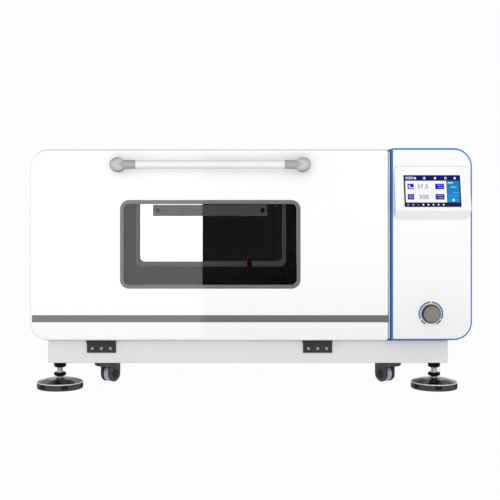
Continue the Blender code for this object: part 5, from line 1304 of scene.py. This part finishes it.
def plinth():
    low, high = Vector((PLINTH[0].x, PLINTH_FRONT, PLINTH_LOW - PLINTH_HEM)), PLINTH[1]
    pan = block("plinth_pan", low, high, PLINTH_EDGE, 5)
    wall = Vector((PLINTH_WALL, PLINTH_WALL, 0))
    bottom = low + wall + Vector((0, 0, PLINTH_HEM + PLINTH_FLOOR))
    carve(pan, block("hollow", bottom, high - wall + Vector((0, 0, SHEET))))
    dress(pan, PLINTH_WHITE, "cabinet", "base_frame")
    for place in CORNERS:
        x, y = foot_axis(place)
        nut(f"upper_nut_{place}", (x, y), PLINTH_LOW - UPPER_NUT_HEIGHT, PLINTH_LOW, "cabinet")
        x, y = joints[f"caster_swivel_{place}"]["pos_m"][:2]
        half = CASTER_PLATE / 2
        corner = (x - half, y - half, PLINTH_LOW - CASTER_PLATE_THICKNESS)
        flat = block(f"caster_plate_{place}", corner, (x + half, y + half, PLINTH_LOW), CASTER_PLATE_EDGE, 2)
        dress(flat, HINGE_DARK, "cabinet")


def caster(place):
    """The collar under a caster's plate, and the cheeks that hold its wheel between them."""
    x, y = joints[f"caster_swivel_{place}"]["pos_m"][:2]
    body = f"caster_{place}"
    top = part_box(f"caster_fork_{place}")[1].z
    wide, edge = COLLAR_RADIUS, COLLAR_EDGE
    profile = [(0, top), (wide - edge / 4, top), (wide, top - edge / 4)]
    profile += arc((wide - edge, COLLAR_LOW + edge), edge, 0, -90, 6)
    profile.append((0, COLLAR_LOW))
    dress(lathe(f"caster_collar_{place}", profile, (x, y, 0), steps=96), DARK, body)
    roll = joints[f"wheel_roll_{place}"]
    middle, across = Vector(roll["pos_m"]), Vector(roll["axis"])
    for index, outward in enumerate((-across, across), 1):
        near, far = middle + outward * CHEEK_NEAR, middle + outward * CHEEK_FAR
        cheek = rod(f"caster_cheek_{place}_{index}", CHEEK_RADIUS, near, far, CHEEK_EDGE)
        dress(cheek, DARK, body)
        cap = rod(f"caster_cap_{place}_{index}", CHEEK_CAP_RADIUS, far, far + outward * CHEEK_CAP_HEIGHT, GAP)
        dress(cap, CAP_DARK, body)


def nut(name, centre, low, high, body, top=None, foot=None):
    """A hexagon nut with its corners turned off."""
    loops = [hexagon(*centre, NUT_RADIUS), circle(*centre, STEM_RADIUS + GAP / 2, 40)]
    piece = plate(name, loops, low, high, "plan")
    outer = NUT_RADIUS * 1.02
    shoulder = (top, high) if top else (outer, high + SHEET)
    profile = [(0, high + SHEET), shoulder, (outer, high - NUT_CHAMFER / 2), (outer, low + NUT_CHAMFER)]
    profile += [(foot or NUT_RADIUS * 0.8, low - GAP), (0, low - SHEET)]
    carve(piece, lathe("turned", profile, (*centre, 0)), operation="INTERSECT")
    dress(piece, NUT_BLACK, body)


def levelling_foot(place):
    x, y = foot_axis(place)
    body = f"foot_{place}"
    foot_rubber(place, (x, y, 0), body)
    radius, neck, bore = FOOT_PAD_RADIUS, FOOT_NECK_RADIUS, STEM_RADIUS + FOOT_PAD_BORE
    rim_top, rim_low = FOOT_RIM_TOP, FOOT_RIM_TOP - FOOT_RIM_EDGE
    wide, shoulder = FOOT_SHOULDER
    flare, rise = FOOT_NECK_FOOT
    soft = FOOT_SOFTNESS
    profile = [(bore, FOOT_PAD_TOP), (neck - soft, FOOT_PAD_TOP), (neck + flare, shoulder + rise)]
    profile += [(wide - soft, shoulder), (wide + soft, shoulder - FOOT_SHOULDER_DROP)]
    profile += [(radius - 4 * soft, rim_top + soft), (radius - FOOT_RIM_SEAT, rim_top)]
    profile += [(radius - FOOT_RIM_SEAT, rim_low), (bore, rim_low)]
    # The cone's light streaks are painted reflections.
    dress(lathe(f"foot_cone_{place}", profile, (x, y, 0), steps=120), PAD_CONE, body)
    inner, rim_foot = radius - FOOT_RIM_WIDTH, rim_low + GAP / 3
    across, down = FOOT_RIM_CHAMFER
    profile = [(inner, rim_top), (radius - across, rim_top), (radius, rim_top - down)]
    profile += [(radius, rim_foot), (inner, rim_foot)]
    dress(lathe(f"foot_rim_{place}", profile, (x, y, 0), steps=120), PAD_RIM, body)
    low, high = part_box(f"foot_stem_{place}")
    end = STEM_RADIUS - STEM_CHAMFER
    profile = [(0, high.z), (end, high.z)]
    for turn in range(int((high.z - low.z - 2 * THREAD_PITCH) / THREAD_PITCH)):
        z = high.z - STEM_CHAMFER - turn * THREAD_PITCH
        profile += [(STEM_RADIUS, z), (STEM_RADIUS - THREAD_DEPTH, z - THREAD_PITCH / 2)]
    profile += [(end, low.z), (0, low.z)]
    stem = lathe(f"foot_screw_{place}", profile, (x, y, 0), steps=32)
    dress(stem, STEM_STEEL, body, f"foot_stem_{place}")
    nut(f"lower_nut_{place}", (x, y), LOWER_NUT_LOW, LOWER_NUT_HIGH, body, NUT_RADIUS * 0.9, LOWER_NUT_FOOT)


def foot_rubber(place, centre, body):
    """The pad's rubber with notches round its side, with a black sheet on each notch's floor as painted shade in the
    recess.
    """
    radius = FOOT_PAD_RADIUS
    top = FOOT_RIM_TOP - FOOT_RIM_EDGE
    edge = FOOT_PAD_EDGE
    across, down = FOOT_PAD_CHAMFER
    profile = [(FOOT_PAD_INNER, top), (radius - across, top), (radius, top - down)]
    profile += arc((radius - edge, edge), edge, 0, -90, 5)
    profile.append((FOOT_PAD_INNER, 0))
    rubber = lathe(f"foot_rubber_{place}", profile, centre, steps=120)
    half, low, floor_at = FOOT_NOTCH_WIDTH / 2, FOOT_NOTCH_LOW, radius - FOOT_NOTCH_DEPTH
    cutters = []
    start = FOOT_NOTCH_TURN[place.split("_")[1]] - 90
    for index in range(FOOT_NOTCHES):
        turn = math.radians(start + 360 / FOOT_NOTCHES * index)
        spot = Matrix.Translation(centre) @ Matrix.Rotation(turn, 4, "Z")
        cutter = block("cutter", (floor_at, -half, low), (radius + SHEET, half, top + SHEET))
        cutter.data.transform(spot)
        cutters.append(cutter)
        # Each notch's floor gets a thin black sheet: painted shade in the recess.
        name = f"foot_notch_shade_{place}_{index + 1}"
        corner = (floor_at - GAP, -half - GAP, low - GAP)
        wall = block(name, corner, (floor_at + GAP, half + GAP, top - GAP), GAP * 2 / 3, 1)
        wall.data.transform(spot)
        dress(wall, NOTCH_SHADE_BLACK, body)
    carve(rubber, *cutters)
    dress(rubber, RUBBER, body, f"foot_pad_{place}")


# CAD nodes that are shown as they are


def soften(name, made):
    """A CAD node in its finish, its faces joined and shaded smooth between its sharp edges."""
    piece = nodes[name]
    piece.data.materials.clear()
    piece.data.materials.append(made)
    if "custom_normal" in piece.data.attributes:
        piece.data.attributes.remove(piece.data.attributes["custom_normal"])
    piece.data.shade_smooth()
    weld = piece.modifiers.new("Weld", "WELD")
    weld.merge_threshold = SAME_PLACE
    split = piece.modifiers.new("Sharp edges", "EDGE_SPLIT")
    split.split_angle = SHARP_ANGLE
    flatten(piece)


SHOWN_AS_BUILT = {
    SHELL_BLUE: ("cabinet_shell",),
    REAR_WHITE: ("rear_cover",),
    INNER_WHITE: ("door_liner",),
    STEEL: ("chamber_liner", "shaker_tray"),
    FOAM: ("insulation",),
    CAST: ("drive_frame", "driven_pulley", "motor_pulley", "platform_frame"),
    ZINC: (
        "fan_impeller",
        "crank_driven",
        "crank_rear",
        "crank_front",
        "control_unit",
        "hinge_leaf_left",
        "hinge_leaf_right",
        "selector_spindle",
    ),
    DARK: ("motor_body", "fan_motor", "power_inlet", "selector_bezel"),
    SEAL_RUBBER: ("drive_belt", "door_gasket"),
    DUCT_BLACK: ("duct_cover",),
    PROBE_RED: ("temperature_probe",),
    BRASS: ("gas_inlet",),
    HINGE_DARK: ("hinge_plate_left", "hinge_plate_right"),
}

bpy.context.scene.view_settings.view_transform = "Standard"
camera()
floor()
studio()
for made, names in SHOWN_AS_BUILT.items():
    for name in names:
        soften(name, made)
for corner in CORNERS:
    soften(f"caster_fork_{corner}", DARK)
    soften(f"caster_wheel_{corner}", WHEEL)
    caster(corner)
door_skin()
door_stripe()
window()
handle()
hinge_flanges()
rear_screws()
mirror()
air_strip()
column()
selector()
screen_housing()
screen()
plinth()
for corner in CORNERS:
    levelling_foot(corner)
